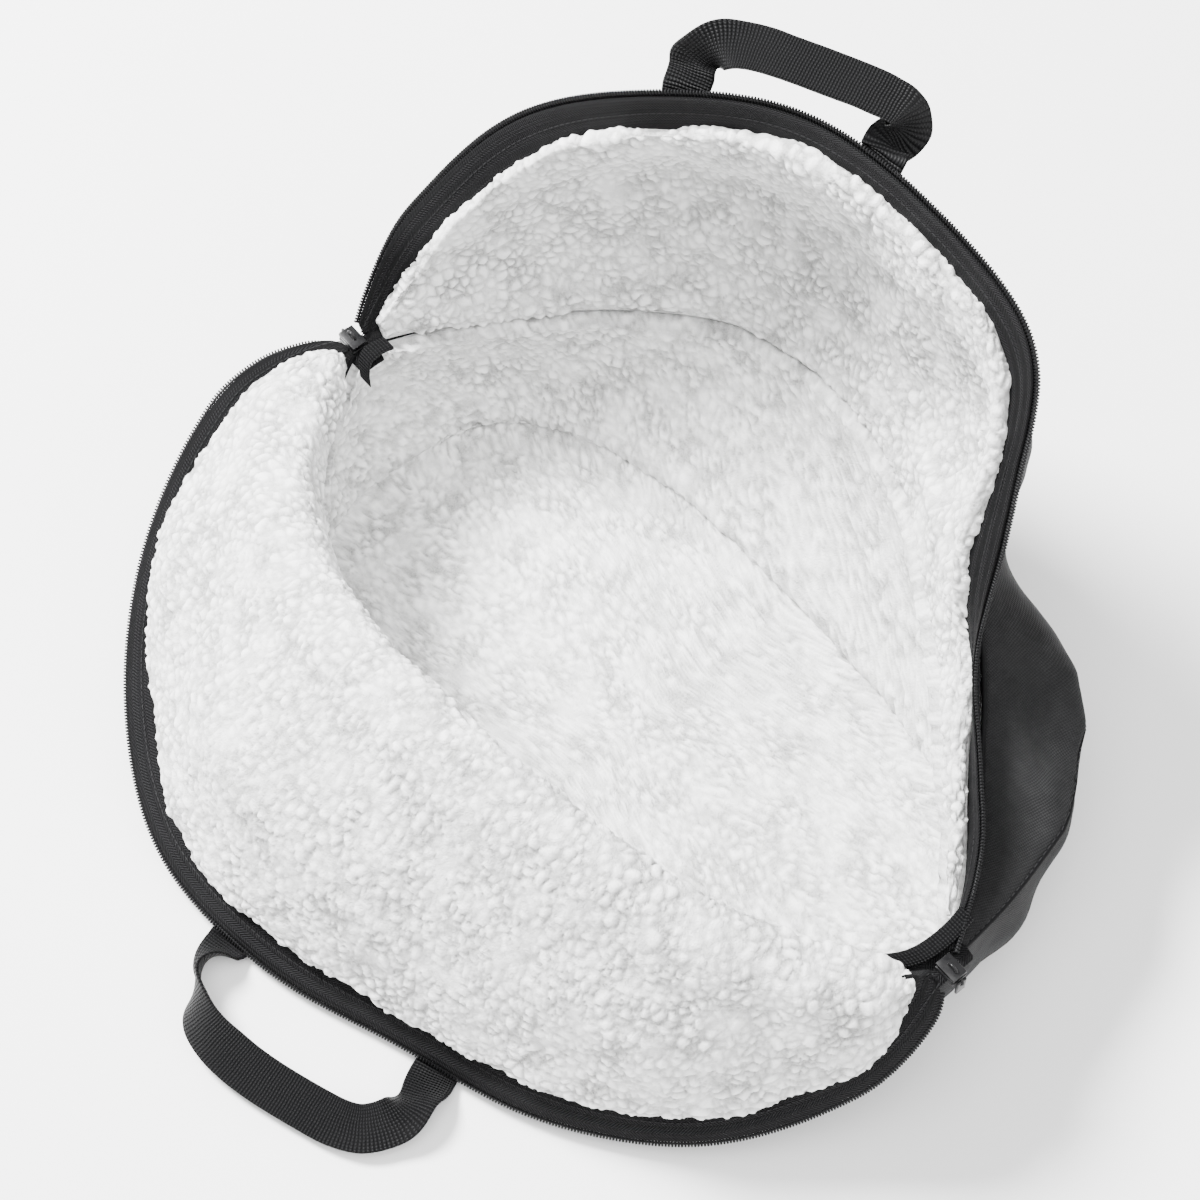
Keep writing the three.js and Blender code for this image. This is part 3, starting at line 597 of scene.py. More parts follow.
def tufts(piece, folds, leastDepth):
    mesh = piece.data
    folds = folds + tabFolds
    inner = mesh.attributes["innerSide"].data
    fine = set()
    back = set()
    for polygon in mesh.polygons:
        (fine if inner[polygon.index].value else back).update(polygon.vertices)
    fine -= back
    coords = np.empty(len(mesh.vertices) * 3)
    mesh.vertices.foreach_get("co", coords)
    depths = foldDepth(coords.reshape(-1, 3) * 1000, folds)
    # painted shade: how far the fleece's colour is darkened in the crevices between tufts and at clump edges
    paintedCreviceShade = mesh.attributes.new("paintedCreviceShade", "FLOAT", "POINT")
    moved = []
    for vertex in mesh.vertices:
        if vertex.index not in fine:
            moved.append(vertex.co.copy())
            continue
        place = vertex.co * 1000
        cell = place + noise.noise_vector(place / fleece["warpSize"]) * fleece["warp"]
        cell += noise.noise_vector(place / fleece["frizzSize"]) * fleece["frizz"]
        nearest, second = noise.voronoi(cell / fleece["tuft"])[0][:2]
        edge = second - nearest
        puff = min(edge / fleece["edgeWidth"], 1) ** fleece["edgeRound"]
        puff *= 1 - fleece["dome"] * nearest * nearest
        start = Vector(fleece["unevenStart"])
        broken = fleece["evenness"] + fleece["uneven"] * noise.noise(place / fleece["unevenSize"] + start)
        clumpNearest, clumpSecond = noise.voronoi(cell / fleece["clump"])[0][:2]
        clump = min((clumpSecond - clumpNearest) / fleece["clumpEdge"], 1)
        height = fleece["lift"] * (puff - fleece["sink"]) * broken + fleece["clumpLift"] * (clump - 0.5)
        swell = fleece["swell"] * noise.noise(place / fleece["swellSize"])
        height += swell + fleece["pile"] + depths[vertex.index]
        # painted shade falls in the crevices between tufts and, more lightly, between clumps
        crevice = (1 - min(edge / fleece["creviceWidth"], 1)) * broken
        paintedCreviceShade.data[vertex.index].value = min(1, crevice + fleece["clumpShade"] * (1 - clump))
        moved.append(vertex.co + vertex.normal * max(height, leastDepth) / 1000)
    for vertex, place in zip(mesh.vertices, moved):
        vertex.co = place


def splitInnerSide(piece, cuts):
    mesh = piece.data
    for item in (*mesh.vertices, *mesh.edges):
        item.select = False
    for polygon in mesh.polygons:
        polygon.select = bool(mesh.attributes["innerSide"].data[polygon.index].value)
    makeActive(piece)
    bpy.ops.object.mode_set(mode="EDIT")
    bpy.ops.mesh.select_mode(type="FACE")
    bpy.ops.mesh.subdivide(number_cuts=cuts)
    bpy.ops.object.mode_set(mode="OBJECT")


def atLength(row, reach, length):
    k = max(i for i in range(len(reach) - 1) if reach[i] <= length)
    return row[k].lerp(row[k + 1], (length - reach[k]) / max(reach[k + 1] - reach[k], 1e-9))


def waveLip(inner, outer, side):               # the fleece ends in a wavy edge over the tape
    for front, back in zip(inner, outer):
        place = front[0] * 1000
        atLeft = min(max((-place.x - fleece["leftFrom"]) / fleece["leftFade"], 0), 1) if side == "near" else 0
        drawn = fleece["lipDraw"][side] + fleece["leftDraw"] * atLeft
        drawn += fleece["lipDepth"] * noise.noise(place / fleece["lipWave"])
        for row, tucked in ((front, 0), (back, fleece["backTuck"])):
            reach = [0.0]
            for p, q in zip(row, row[1:]):
                reach.append(reach[-1] + (q - p).length)
            whole = min(fleece["lipReach"] / 1000, reach[-1] * 0.8)
            start = min(max(drawn + tucked, 0) / 1000, whole * 0.7)
            row[:] = [atLength(row, reach, start + (whole - start) * far / whole) if far < whole else point
                      for far, point in zip(reach, row)]
        for j in (0, 1, 2):                    # and gets thinner there
            front[j] = front[j].lerp(back[j], fleece["lipTaper"] * (1 - j / 3))


slitLine = []
for side, folds in (("near", nearFolds), ("far", farFolds)):
    inner, outer = sidesOf(f"lining_{side}_panel", sheets["fleeceThickness"], side)
    if side == "far":
        slitLine = [tuple(row[-1] * 1000) for row in inner if -0.180 < row[-1].x < -0.112]
        folds = folds + [{"depth": -4.0, "width": 4.5, "line": slitLine}]
    inner, outer = (refine(grid, *fleece["grain"][side]) for grid in (inner, outer))
    waveLip(inner, outer, side)
    lining = closedSheet(f"{side}Fleece", inner, outer, fleece["crease"])
    subdivideSmooth(lining, 1)
    splitInnerSide(lining, 1)
    tufts(lining, folds, fleece["leastDepth"])
    dress(lining, fleeceMaterial, "fleece", f"lining_{side}_panel", angle=180)


tray = {"stations": 44, "floorShare": 2.6, "meanRadius": 0.178, "crease": 0.5}


def ringsOf(nodeName):                         # rings from the middle to the rim, inside and outside
    mesh = bmesh.new()
    mesh.from_mesh(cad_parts[nodeName].data)
    bmesh.ops.remove_doubles(mesh, verts=mesh.verts, dist=sheets["mergeDistance"])
    start = max((vert for vert in mesh.verts if len(vert.link_edges) > 20), key=lambda vert: vert.co.z)
    seen, rings = {start}, [[start]]
    while rings[-1]:
        ahead = []
        for vert in rings[-1]:
            for edge in vert.link_edges:
                other = edge.other_vert(vert)
                if other not in seen:
                    seen.add(other)
                    ahead.append(other)
        rings.append(ahead)
    made, first = [], -math.pi / 2
    for ring in rings[1:-2]:
        points = sorted((vert.co.copy() for vert in ring), key=lambda point: math.atan2(point.y, point.x))
        angles = [math.atan2(point.y, point.x) for point in points]
        at = min(range(len(points)), key=lambda k: abs(angles[k] - first))
        first = angles[at]
        made.append(points[at:] + points[:at])
    half = len(made) // 2
    centres = start.co.copy(), rings[-2][0].co.copy()
    mesh.free()
    count = tray["stations"]
    return [[centres[0]] * count] + made[:half], [[centres[1]] * count] + made[half:][::-1]


def refineRing(ring, times):
    count = len(ring)
    return [between(ring[k - 1], ring[k], ring[(k + 1) % count], ring[(k + 2) % count], step / times)
            for k in range(count) for step in range(times)]


def squareSpot(half, step):                    # a step round the border of a square grid
    edge, along = divmod(step, 2 * half) if half else (0, 0)
    return [(half, along - half), (half - along, half), (-half, half - along), (along - half, -half)][edge]


def traySide(mesh, rings, times, wallRows):
    rings = [refineRing(ring, times) for ring in rings]
    stations = len(rings[0])
    reach = [0.0]
    for a, b in zip(rings, rings[1:]):
        reach.append(reach[-1] + sum((p - q).length for p, q in zip(a, b)) / stations)

    def shareAt(length):                       # rings counted from the middle, with a fraction
        k = max(i for i in range(len(reach) - 1) if reach[i] <= length + 1e-9)
        return k + (length - reach[k]) / (reach[k + 1] - reach[k])

    def pointAt(station, share):
        k = min(int(share), len(rings) - 2)
        low = int(station) % stations
        high = (low + 1) % stations
        mix = station - int(station)
        near = [rings[min(max(m, 0), len(rings) - 1)] for m in (k - 1, k, k + 1, k + 2)]
        return between(*(ring[low].lerp(ring[high], mix) for ring in near), share - k)

    turnLength = reach[2] + (reach[3] - reach[2]) * (tray["floorShare"] - 2)
    half = stations // 8
    floorVerts = {}
    for r in range(half + 1):
        share = shareAt(turnLength * r / half)
        for p in range(max(8 * r, 1)):
            floorVerts[squareSpot(r, p)] = mesh.verts.new(pointAt(p / max(8 * r, 1) * stations, share))
    faces = [mesh.faces.new([floorVerts[spot] for spot in ((i, j), (i + 1, j), (i + 1, j + 1), (i, j + 1))])
             for i in range(-half, half) for j in range(-half, half)]
    last = [floorVerts[squareSpot(half, p)] for p in range(stations)]
    wallFaces = []
    for row in range(1, wallRows + 1):
        share = shareAt(turnLength + (reach[-1] - turnLength) * row / wallRows)
        level = [mesh.verts.new(pointAt(p, share)) for p in range(stations)]
        wallFaces += [mesh.faces.new((last[p - 1], last[p], level[p], level[p - 1])) for p in range(stations)]
        last = level
    return faces, wallFaces, last


def closedTray(nodeName, name, times, wallRows, outerRows, rimRows):
    innerRings, outerRings = ringsOf(nodeName)
    mesh = bmesh.new()
    cloth = mesh.loops.layers.uv.new("cloth")
    innerSide = mesh.faces.layers.int.new("innerSide")
    outward = mesh.verts.layers.float_vector.new("outward")
    crease = mesh.edges.layers.float.new("crease_edge")
    innerFloor, innerWall, innerRim = traySide(mesh, innerRings, times, wallRows)
    outerFloor, outerWall, outerRim = traySide(mesh, outerRings, times, outerRows)
    rimFaces, last = [], innerRim
    for row in range(1, rimRows + 1):
        share = row / rimRows
        level = outerRim
        if row < rimRows:
            level = [mesh.verts.new(a.co.lerp(b.co, share)) for a, b in zip(innerRim, outerRim)]
        for p in range(len(level)):
            rimFaces.append(mesh.faces.new((last[p - 1], last[p], level[p], level[p - 1])))
        last = level
    for face in innerFloor + innerWall + rimFaces:
        face[innerSide] = 1
    for rim in (innerRim, outerRim):
        for p in range(len(rim)):
            mesh.edges.get((rim[p - 1], rim[p]))[crease] = tray["crease"]
    bmesh.ops.recalc_face_normals(mesh, faces=mesh.faces)
    mesh.normal_update()
    for faces, sign in ((innerFloor + innerWall, -1), (outerFloor + outerWall, 1)):
        for face in faces:
            for vert in face.verts:
                vert[outward] = face.normal * sign
    for face in innerFloor + outerFloor + rimFaces:
        for loop in face.loops:
            loop[cloth].uv = loop.vert.co.xy
    for face in innerWall + outerWall:
        middle = math.atan2(face.calc_center_median().y, face.calc_center_median().x)
        for loop in face.loops:
            place = loop.vert.co
            angle = math.atan2(place.y, place.x)
            if abs(angle - middle) > math.pi:
                angle += math.copysign(2 * math.pi, middle - angle)
            loop[cloth].uv = (angle * tray["meanRadius"], place.z)
    return pieceFrom(mesh, name)


baseFleece = closedTray("lining_base", "baseFleece", 14, 52, 5, 4)
baseFolds = [
    {"depth": -4.0, "width": 4.5, "line": slitLine},
    {"depth": 3.2, "width": 9, "line": [tuple(point * 1000) for point in ringsOf("lining_base")[0][3]]},
]
tufts(baseFleece, baseFolds, -4.0)
dress(baseFleece, fleeceMaterial, "fleece", "lining_base", angle=180)
print("fleece lining done")

# nylon shell

shell = {                  # lengths in millimetres
    "wide": 30,
    "tall": 85,
    "foldDepth": 5.5,
    "foldShift": 0.12,
    "ripple": 12,
    "rippleDepth": 0.6,
    "leastDepth": -0.6,
    "sewnShare": 0.15,
    "lipFade": 30,
    "seamFade": 14,
    "floorFrom": 3,
    "floorFade": 18,
}


def drape(place, scale):                       # how far the cloth stands out at a place in millimetres
    wide = Vector((place.x / shell["wide"], place.y / shell["wide"], place.z / shell["tall"]))
    height = shell["foldDepth"] * (noise.noise(wide) + shell["foldShift"])
    height += shell["rippleDepth"] * noise.noise(place / shell["ripple"])
    floorFade = min(max((place.z - shell["floorFrom"]) / shell["floorFade"], 0), 1)    # flat on the floor
    return max(height * scale, shell["leastDepth"] * min(scale * 2, 1)) * floorFade


panelGrids, sewnRows = {}, []
for side in ("near", "far"):
    panelGrids[side] = sidesOf(f"outer_{side}_panel", sheets["nylonThickness"], side)
    sewnRows += refine(panelGrids[side][1], 3)
sewnLines = {edge: np.array([tuple(row[edge] * 1000) for row in sewnRows]) for edge in (0, -1)}


def flatShare(places):                         # the cloth lies flat beside the zip and the tray's seam
    share = np.ones(len(places))
    for edge, fade in ((0, shell["lipFade"]), (-1, shell["seamFade"])):
        nearest = np.full(len(places), 1e9)
        for sewn in sewnLines[edge]:
            nearest = np.minimum(nearest, np.linalg.norm(places - sewn, axis=1))
        rise = (1 - shell["sewnShare"]) * np.clip(nearest / fade, 0, 1)
        share = np.minimum(share, shell["sewnShare"] + rise)
    return share


def bulge(place, depth):                       # the deep folds stand straight out from the bag's middle
    return Vector((place.x, place.y, 0)).normalized() * depth / 1000


def wrinkle(piece, scale=1.0, sewn=False):
    mesh = piece.data
    outward = mesh.attributes["outward"].data
    coords = np.empty(len(mesh.vertices) * 3)
    mesh.vertices.foreach_get("co", coords)
    places = coords.reshape(-1, 3) * 1000
    depths = foldDepth(places, shellFolds) if sewn else np.zeros(len(places))
    shares = flatShare(places) if sewn else np.ones(len(places))
    for vertex in mesh.vertices:
        height = drape(vertex.co * 1000, scale * shares[vertex.index])
        out = Vector(outward[vertex.index].vector).normalized() * height / 1000
        vertex.co += out + bulge(vertex.co, depths[vertex.index])


def seamPlace(front, back, place):             # how far a seam moves out with the cloth beside it
    where = np.array([place]) * 1000
    height = drape(place * 1000, flatShare(where)[0])
    return (back - front).normalized() * height / 1000 + bulge(place, foldDepth(where, shellFolds)[0])


for side in ("near", "far"):
    inner, outer = panelGrids[side]
    panel = closedSheet(f"{side}Nylon", refine(inner, 2), refine(outer, 2), 0.7)
    subdivideSmooth(panel, 2)
    wrinkle(panel, 1.0, True)
    dress(panel, nylonMaterial, "nylon", f"outer_{side}_panel", angle=180)

    inner, outer = sidesOf(f"{side}_zip_strip", sheets["nylonThickness"], side)
    strip = closedSheet(f"{side}Facing", refine(inner, 4, 2), refine(outer, 4, 2), 0.7)
    subdivideSmooth(strip, 1)
    wrinkle(strip, 0.15)
    dress(strip, stripMaterial, "nylon", f"{side}_zip_strip", angle=180)

baseNylon = closedTray("outer_base", "baseNylon", 4, 14, 14, 1)
subdivideSmooth(baseNylon, 1)
wrinkle(baseNylon, 1.0, True)
dress(baseNylon, nylonMaterial, "nylon", "outer_base", angle=180)

# zip tape, teeth and stitches

zipper = {
    "toothPitch": 0.00165,
    "toothSize": (0.0012, 0.0037, 0.0022),
    "toothRounding": 0.0003,
    "lipInset": 0.0018,
    "coreRadius": 0.0007,
}


def alongLine(line, directions, pitch):         # evenly spaced places with a frame at each
    total = [0.0]
    for a, b in zip(line, line[1:]):
        total.append(total[-1] + (b - a).length)
    count = int(total[-1] / pitch)
    k = 0
    for step in range(count + 1):
        distance = total[-1] * step / count
        while k < len(line) - 2 and total[k + 1] < distance:
            k += 1
        share = (distance - total[k]) / max(total[k + 1] - total[k], 1e-9)
        place = line[k].lerp(line[k + 1], share)
        forward = (line[k + 1] - line[k]).normalized()
        outward = directions[k].lerp(directions[k + 1], share)
        outward = (outward - forward * outward.dot(forward)).normalized()
        yield place, forward, outward, forward.cross(outward).normalized()


def repeatAlong(name, unit, places):            # one mesh with a copy of the unit at each place
    mesh = bmesh.new()
    corners = [vertex.co.copy() for vertex in unit.data.vertices]
    faces = [tuple(polygon.vertices) for polygon in unit.data.polygons]
    for place, forward, outward, up in places:
        made = [mesh.verts.new(place + forward * c.x + outward * c.y + up * c.z) for c in corners]
        for face in faces:
            mesh.faces.new([made[i] for i in face])
    bmesh.ops.recalc_face_normals(mesh, faces=mesh.faces)
    return pieceFrom(mesh, name)


def tubeAlong(name, line, radius, sides=6):
    mesh = bmesh.new()
    rings = []
    for i, point in enumerate(line):
        forward = (line[min(i + 1, len(line) - 1)] - line[max(i - 1, 0)]).normalized()
        first = forward.cross(Vector((0, 0, 1))).normalized()
        second = forward.cross(first)
        angles = [2 * math.pi * k / sides for k in range(sides)]
        rings.append([mesh.verts.new(point + (first * math.cos(angle) + second * math.sin(angle)) * radius)
                      for angle in angles])
    for a, b in zip(rings, rings[1:]):
        for k in range(sides):
            mesh.faces.new((a[k - 1], a[k], b[k], b[k - 1]))
    mesh.faces.new(rings[0])
    mesh.faces.new(rings[-1])
    bmesh.ops.recalc_face_normals(mesh, faces=mesh.faces)
    return pieceFrom(mesh, name)


def stitchPlaces(line, sidewards, pitch):       # stitches lie along their line
    return [(place, out, forward, up) for place, forward, out, up in alongLine(line, sidewards, pitch)]


def makeUnit(name, size, rounding):
    bpy.ops.object.select_all(action="DESELECT")
    bpy.ops.mesh.primitive_cylinder_add(vertices=6, radius=0.5, depth=1, rotation=(math.pi / 2, 0, 0))
    unit = bpy.context.object
    unit.name = name
    unit.scale = (size[0], size[2], size[1])
    bpy.ops.object.transform_apply(location=False, rotation=True, scale=True)
    if rounding:
        applyModifier(unit, "BEVEL", width=rounding, segments=1, limit_method="ANGLE",
                      angle_limit=math.radians(65))
    return unit


seams = {
    "cordRadius": 0.0015,
    "reach": 0.0007,
    "stitchSize": (0.0006, 0.0026, 0.0005),
    "seamPitch": 0.0042,
    "tapePitch": 0.0036,
    "stitchShare": 0.25,       # how far from the seam, on the way to the next row
    "stitchLift": 0.3,         # millimetres
    "webGap": 0.0002,
    "webThickness": 0.0007,
    "webCrease": 0.6,
    "webWrinkles": 0.15,
    "tapeCrease": 0.8,
    "tapeWrinkles": 0.12,
    "tapeReach": {"near": 0.017, "far": 0.009},
    "tapeLeast": 0.0075,       # a tape that is less wide doesn't run on
}
tooth = makeUnit("tooth", zipper["toothSize"], zipper["toothRounding"])
stitch = makeUnit("stitch", seams["stitchSize"], 0)


for side in ("near", "far"):
    inner, outer = (refine(grid, 3) for grid in panelGrids[side])
    for label, edge, within in (("LipSeam", 0, 1), ("TraySeam", -1, -2)):
        line = []
        for a, b in zip(inner, outer):
            away = (a[edge] - a[within]).normalized()
            shift = seamPlace(a[edge], b[edge], b[edge])
            line.append((a[edge] + b[edge]) / 2 + away * seams["reach"] + shift)
        cord = tubeAlong(f"{side}{label}", line, seams["cordRadius"], 8)
        dress(cord, stripMaterial, "nylon", angle=60)
    sidewards = [(points[-1] - points[-3]).normalized() for points in outer]
    line = []
    for a, b in zip(inner, outer):
        place = b[-1].lerp(b[-2], seams["stitchShare"])
        lift = (b[-1] - a[-1]).normalized() * seams["stitchLift"] / 1000
        line.append(place + lift + seamPlace(a[-1], b[-1], place))
    places = stitchPlaces(line, sidewards, seams["seamPitch"])
    dress(repeatAlong(f"{side}SeamStitches", stitch, places), threadMaterial, "tape")

for side in ("near", "far"):
    inner, outer = sidesOf(f"{side}_zip_tape", sheets["tapeThickness"], side)
    for grid in (inner, outer):                # the tape runs on under the edge of the fleece
        for row in grid:
            spare = max((row[-1] - row[0]).length - seams["tapeLeast"], 0)
            reach = min(seams["tapeReach"][side], 3 * spare)
            row[-1] = row[-1] + (row[-1] - row[0]).normalized() * reach
    tapePiece = closedSheet(f"{side}Tape", refine(inner, 4, 3), refine(outer, 4, 3), seams["tapeCrease"])
    subdivideSmooth(tapePiece, 1)
    wrinkle(tapePiece, seams["tapeWrinkles"])
    dress(tapePiece, tapeMaterial, "tape", f"{side}_zip_tape", angle=180)

    stripSides = sidesOf(f"{side}_zip_strip", sheets["nylonThickness"], side)
    inner, outer = (refine(grid, 4) for grid in stripSides)
    middles = [(a[0] + b[0]) / 2 for a, b in zip(inner, outer)]
    outwards = [((a[0] + b[0]) / 2 - (a[1] + b[1]) / 2).normalized() for a, b in zip(inner, outer)]
    lip = [middle + outward * zipper["lipInset"] for middle, outward in zip(middles, outwards)]
    coil = repeatAlong(f"{side}Coil", tooth, alongLine(lip, outwards, zipper["toothPitch"]))
    dress(coil, teethMaterial, "teeth", f"{side}_zip_coil", angle=50)
    core = tubeAlong(f"{side}CoilCore", lip, zipper["coreRadius"])
    dress(core, teethMaterial, "teeth", angle=60)

    stripInner, stripOuter = (refine(grid, 4, 4) for grid in stripSides)
    layers = []
    for lift in (seams["webGap"], seams["webGap"] + seams["webThickness"]):
        layers.append([[b + (b - a).normalized() * lift for a, b in zip(front[:3], back[:3])]
                       for front, back in zip(stripInner, stripOuter)])
    web = closedSheet(f"{side}ZipWeb", layers[0], layers[1], seams["webCrease"])
    wrinkle(web, seams["webWrinkles"])
    dress(web, webMaterial, "tape", angle=60)

    tapeInner = refine(sidesOf(f"{side}_zip_tape", sheets["tapeThickness"], side)[0], 4, 8)
    for label, grid, row in (("TapeStitches", tapeInner, 5), ("FacingStitches", stripOuter, 7)):
        line = [points[row] for points in grid]
        sidewards = [(points[row - 1] - points[row + 1]).normalized() for points in grid]
        places = stitchPlaces(line, sidewards, seams["tapePitch"])
        dress(repeatAlong(f"{side}{label}", stitch, places), threadMaterial, "tape")
print("zips and stitches done")

# webbing handles and end tabs

webbing = {
    "thickness": 0.0018,
    "across": 6,
    "along": 3,
    "edgeRound": 0.35,
    "sewnRows": 8,
    "sewnInset": 0.12,
    "sewnPitch": 0.0034,
    "threadLift": 0.0002,
    "floorGap": 0.0012,
    "twistWidth": 0.045,
    "twists": {"near": [(0.29, 48), (0.71, -42)], "far": [(0.30, 24), (0.70, -46)]},
}


def strapSides(nodeName, thickness, along, across):
    grid = refine(sheetSides(nodeName, thickness)[0], along)
    corners = [vertex.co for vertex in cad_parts[nodeName].data.vertices]
    made = [], []
    sign = 0
    for i, (left, right) in enumerate(grid):
        ahead, behind = grid[min(i + 1, len(grid) - 1)], grid[max(i - 1, 0)]
        forward = ((ahead[0] + ahead[1]) - (behind[0] + behind[1])).normalized()
        normal = forward.cross(right - left).normalized()
        if not sign:                           # the other side of the strap lies one thickness away
            ends = [left + normal * thickness, left - normal * thickness]
            reach = [min((corner - end).length for corner in corners) for end in ends]
            sign = 1 if reach[0] < reach[1] else -1
        line = [left.lerp(right, j / across) for j in range(across + 1)]
        made[0].append(line)
        made[1].append([point + normal * sign * thickness for point in line])
    return made


def boxStitches(name, top, under, start, end):  # a sewn rectangle with a cross, on both faces of a strap
    last = len(top[0]) - 1
    places = []
    for grid, other in ((top, under), (under, top)):
        lift = (grid[start][0] - other[start][0]).normalized() * webbing["threadLift"]
        inset = webbing["sewnInset"]
        a, b, c, d = (grid[row][0].lerp(grid[row][last], share) + lift
                      for row, share in ((start, inset), (start, 1 - inset), (end, 1 - inset), (end, inset)))
        face = (b - a).cross(d - a).normalized()
        for p, q in ((a, b), (b, c), (c, d), (d, a), (a, c), (b, d)):
            side = face.cross(q - p).normalized()
            places += stitchPlaces([p, (p + q) / 2, q], [side] * 3, webbing["sewnPitch"])
    stitches = repeatAlong(name, stitch, places)
    dress(stitches, threadMaterial, "webbing")


def twist(top, under, twists):                  # the strap turns on its length at these shares of the way
    last = len(top) - 1
    for i, (upper, lower) in enumerate(zip(top, under)):
        angle = 0
        for at, degrees in twists:
            angle += math.radians(degrees) * math.exp(-(((i / last - at) / webbing["twistWidth"]) ** 2))
        ahead, behind = top[min(i + 1, last)], top[max(i - 1, 0)]
        forward = (ahead[len(upper) // 2] - behind[len(upper) // 2]).normalized()
        middle = (upper[0] + upper[-1] + lower[0] + lower[-1]) / 4
        spin = Matrix.Rotation(angle, 3, forward)
        for row in (upper, lower):
            row[:] = [middle + spin @ (point - middle) for point in row]
    for upper, lower in zip(top, under):
        lowest = min(point.z for point in upper + lower)
        rise = max(webbing["floorGap"] - lowest, 0)
        for row in (upper, lower):
            row[:] = [point + Vector((0, 0, rise)) for point in row]


for side in ("near", "far"):
    top, under = strapSides(f"{side}_handle", webbing["thickness"], webbing["along"], webbing["across"])
    twist(top, under, webbing["twists"][side])
    handle = closedSheet(f"{side}Handle", top, under, webbing["edgeRound"])
    subdivideSmooth(handle, 1)
    dress(handle, webbingMaterial, "webbing", f"{side}_handle", angle=180)
    count = len(top)
    boxStitches(f"{side}HandleStartStitches", top, under, 1, webbing["sewnRows"])
    boxStitches(f"{side}HandleEndStitches", top, under, count - 1 - webbing["sewnRows"], count - 2)

endTab = {                 # lengths in millimetres
    "line": [(218, 25, 114.2), (219.5, 16, 113.8), (220, 6, 113.4),
             (219, -5, 112.8), (215.5, -13, 110.2), (210, -20, 108.2)],
    "width": 9.5,
    "thickness": 1.4,
    "crease": 0.5,
    "steps": 6,
    "patchFrom": (215, -15),
    "patchTo": (236, 15),
    "patchTop": 106.9,
    "patchSag": 0.5,
    "patchThickness": 0.8,
    "patchCrease": 0.6,
    "share": {"left": 0.5, "right": 1.0},      # hardly any of the left tab shows
}


def flatGrid(points, widths, thickness):       # a top and an underside for a strip with these middles
    across = [Vector(width) / 2 for width in widths]
    top = [[(p - w).copy(), p.copy(), (p + w).copy()] for p, w in zip(points, across)]
    return top, [[point - Vector((0, 0, thickness)) for point in row] for row in top]


for end, direction in (("left", -1), ("right", 1)):
    share = endTab["share"][end]
    line = [Vector((x * direction, y * share, z)) / 1000 for x, y, z in endTab["line"]]
    line = refineLine(line, endTab["steps"])
    widths = [(endTab["width"] / 1000, 0, 0)] * len(line)
    tab = closedSheet(f"{end}EndTab", *flatGrid(line, widths, endTab["thickness"] / 1000), endTab["crease"])
    subdivideSmooth(tab, 1)
    dress(tab, webbingMaterial, "webbing", f"end_tab_{end}", angle=180)
    (lowX, lowY), (highX, highY) = endTab["patchFrom"], endTab["patchTo"]
    line = []
    for k in range(9):
        sag = endTab["patchSag"] * (k / 4 - 1) ** 2
        y = (lowY + (highY - lowY) * k / 8) * share
        line.append(Vector(((lowX + highX) / 2 * direction, y, endTab["patchTop"] - sag)) / 1000)
    widths = [((highX - lowX) / 1000, 0, 0)] * len(line)
    patchSides = flatGrid(line, widths, endTab["patchThickness"] / 1000)
    patch = closedSheet(f"{end}ZipEndPatch", *patchSides, endTab["patchCrease"])
    subdivideSmooth(patch, 1)
    dress(patch, tapeMaterial, "tape", angle=180)
print("handles and end tabs done")

# sliders and pulls

slider = {                 # lengths in metres, shares of the slider's size
    "plate": 0.0017,
    "spine": (0.0036, 0.0028),
    "spineAt": 0.32,
    "spineHeight": 0.96,
    "flange": 0.0009,
    "flangeHeight": 0.0015,
    "flangeLength": 0.8,
    "flangeStart": 0.6,        # a share of the plate, so that the two run into each other
    "bridge": (0.0031, 0.0007),
    "bridgeShift": 0.001,
    "ring": (0.0024, 0.0005),
    "ringShift": 0.0008,
    "ringDrop": 0.0014,
    "hole": 0.0015,
    "holeDrop": 0.0028,
    "rounding": 0.0007,
    "pullRounding": 0.0006,
}


def addBox(size, place):
    bpy.ops.mesh.primitive_cube_add(size=1, location=place)
    made = bpy.context.object
    made.scale = size
    bpy.ops.object.transform_apply(location=True, scale=True)
    return made


def addWire(name, radii, segments, place):
    bpy.ops.mesh.primitive_torus_add(major_radius=radii[0], minor_radius=radii[1], major_segments=segments[0],
                                     minor_segments=segments[1], rotation=(math.pi / 2, 0, 0), location=place)
    wire = bpy.context.object
    wire.name = name
    bpy.ops.object.transform_apply(location=True, rotation=True)
    dress(wire, enamelMaterial, "enamel", angle=180)


def joined(parts, name):
    bpy.ops.object.select_all(action="DESELECT")
    for part in parts:
        part.select_set(True)
    bpy.context.view_layer.objects.active = parts[0]
    bpy.ops.object.join()
    parts[0].name = name
    return parts[0]


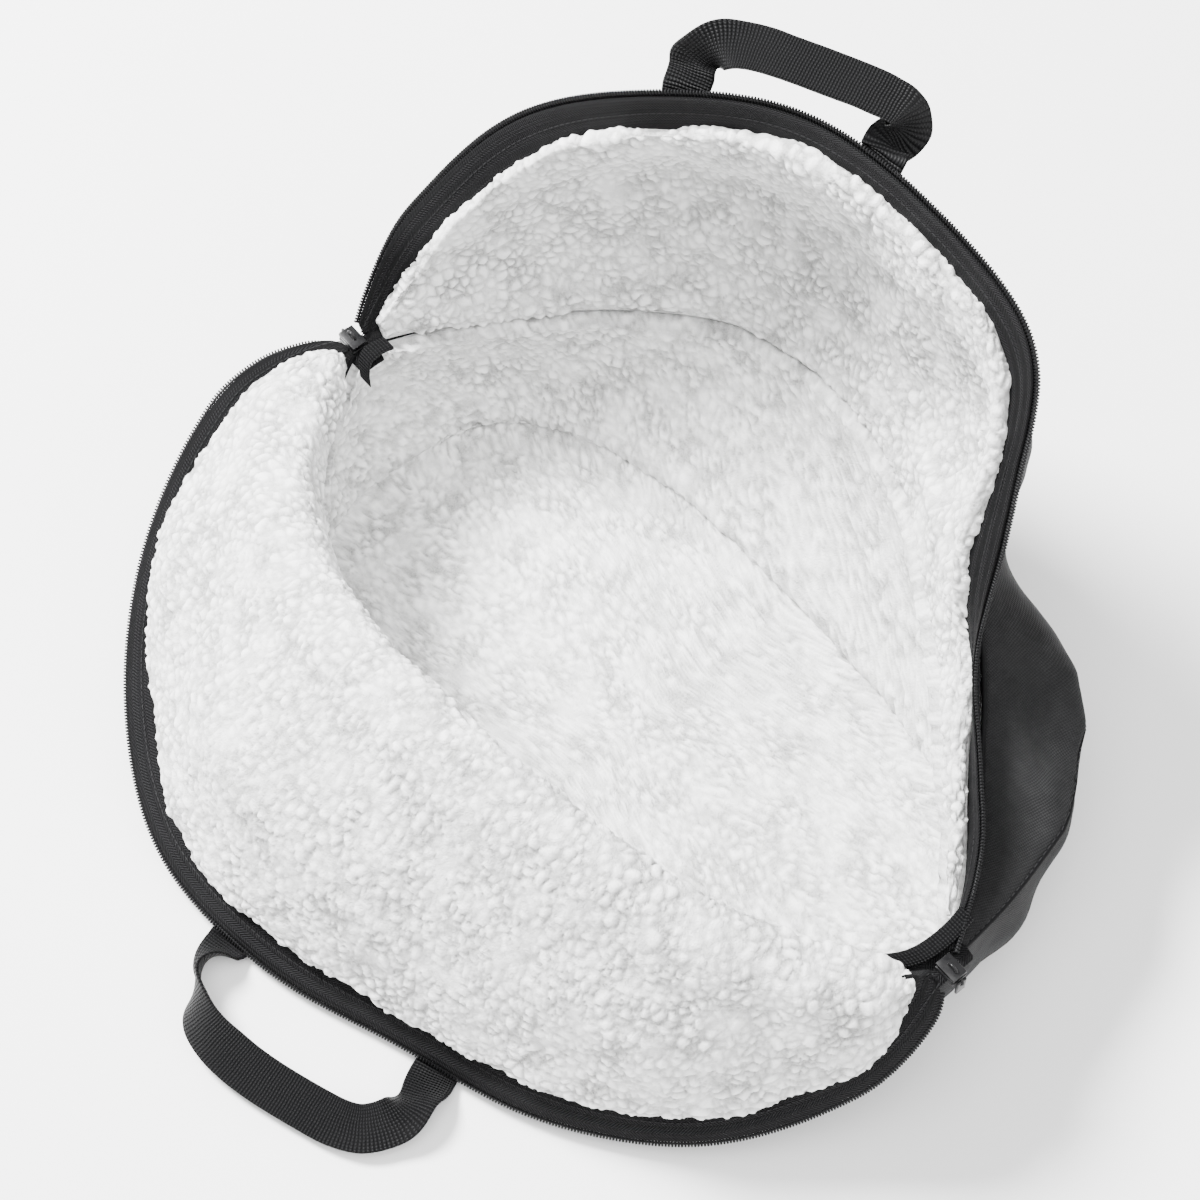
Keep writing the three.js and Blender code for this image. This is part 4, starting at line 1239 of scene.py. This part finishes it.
for end, direction in (("left", -1), ("right", 1)):
    low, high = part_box(f"slider_{end}")
    middle, size = (low + high) / 2, high - low
    bpy.ops.object.select_all(action="DESELECT")
    plate, flange, flangeHeight = slider["plate"], slider["flange"], slider["flangeHeight"]
    parts = []
    for level in (-1, 1):
        z = middle.z + level * (size.z - plate) / 2
        parts.append(addBox((size.x, size.y, plate), (middle.x, middle.y, z)))
        z = middle.z + level * (size.z - flangeHeight) / 2 - level * plate * slider["flangeStart"]
        for across in (-1, 1):
            y = middle.y + across * (size.y - flange) / 2
            parts.append(addBox((size.x * slider["flangeLength"], flange, flangeHeight), (middle.x, y, z)))
    nose = middle.x - direction * size.x * slider["spineAt"]
    parts.append(addBox((*slider["spine"], size.z * slider["spineHeight"]), (nose, middle.y, middle.z)))
    body = joined(parts, f"{end}Slider")
    applyModifier(body, "BEVEL", width=slider["rounding"], segments=3, limit_method="ANGLE")
    dress(body, enamelMaterial, "enamel", f"slider_{end}", angle=40)
    place = middle.x + direction * slider["bridgeShift"], middle.y, high.z - slider["bridge"][1]
    addWire(f"{end}SliderBridge", slider["bridge"], (28, 10), place)
    low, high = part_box(f"pull_{end}")
    middle, size = (low + high) / 2, high - low
    pull = addBox(size, middle)
    pull.name = f"{end}Pull"
    applyModifier(pull, "BEVEL", width=slider["pullRounding"], segments=3, limit_method="ANGLE")
    place = middle.x, middle.y, high.z - slider["holeDrop"]
    bpy.ops.mesh.primitive_cylinder_add(vertices=24, radius=slider["hole"], depth=0.01,
                                        rotation=(0, math.pi / 2, 0), location=place)
    cutter = bpy.context.object
    bpy.ops.object.transform_apply(location=True, rotation=True)
    applyModifier(pull, "BOOLEAN", object=cutter, operation="DIFFERENCE", solver="EXACT")
    bpy.data.objects.remove(cutter, do_unlink=True)
    dress(pull, enamelMaterial, "enamel", f"pull_{end}", angle=40)
    place = middle.x - direction * slider["ringShift"], middle.y, high.z - slider["ringDrop"]
    addWire(f"{end}PullRing", slider["ring"], (24, 8), place)
print("sliders and pulls done")

for unit in (tooth, stitch):
    bpy.data.objects.remove(unit, do_unlink=True)
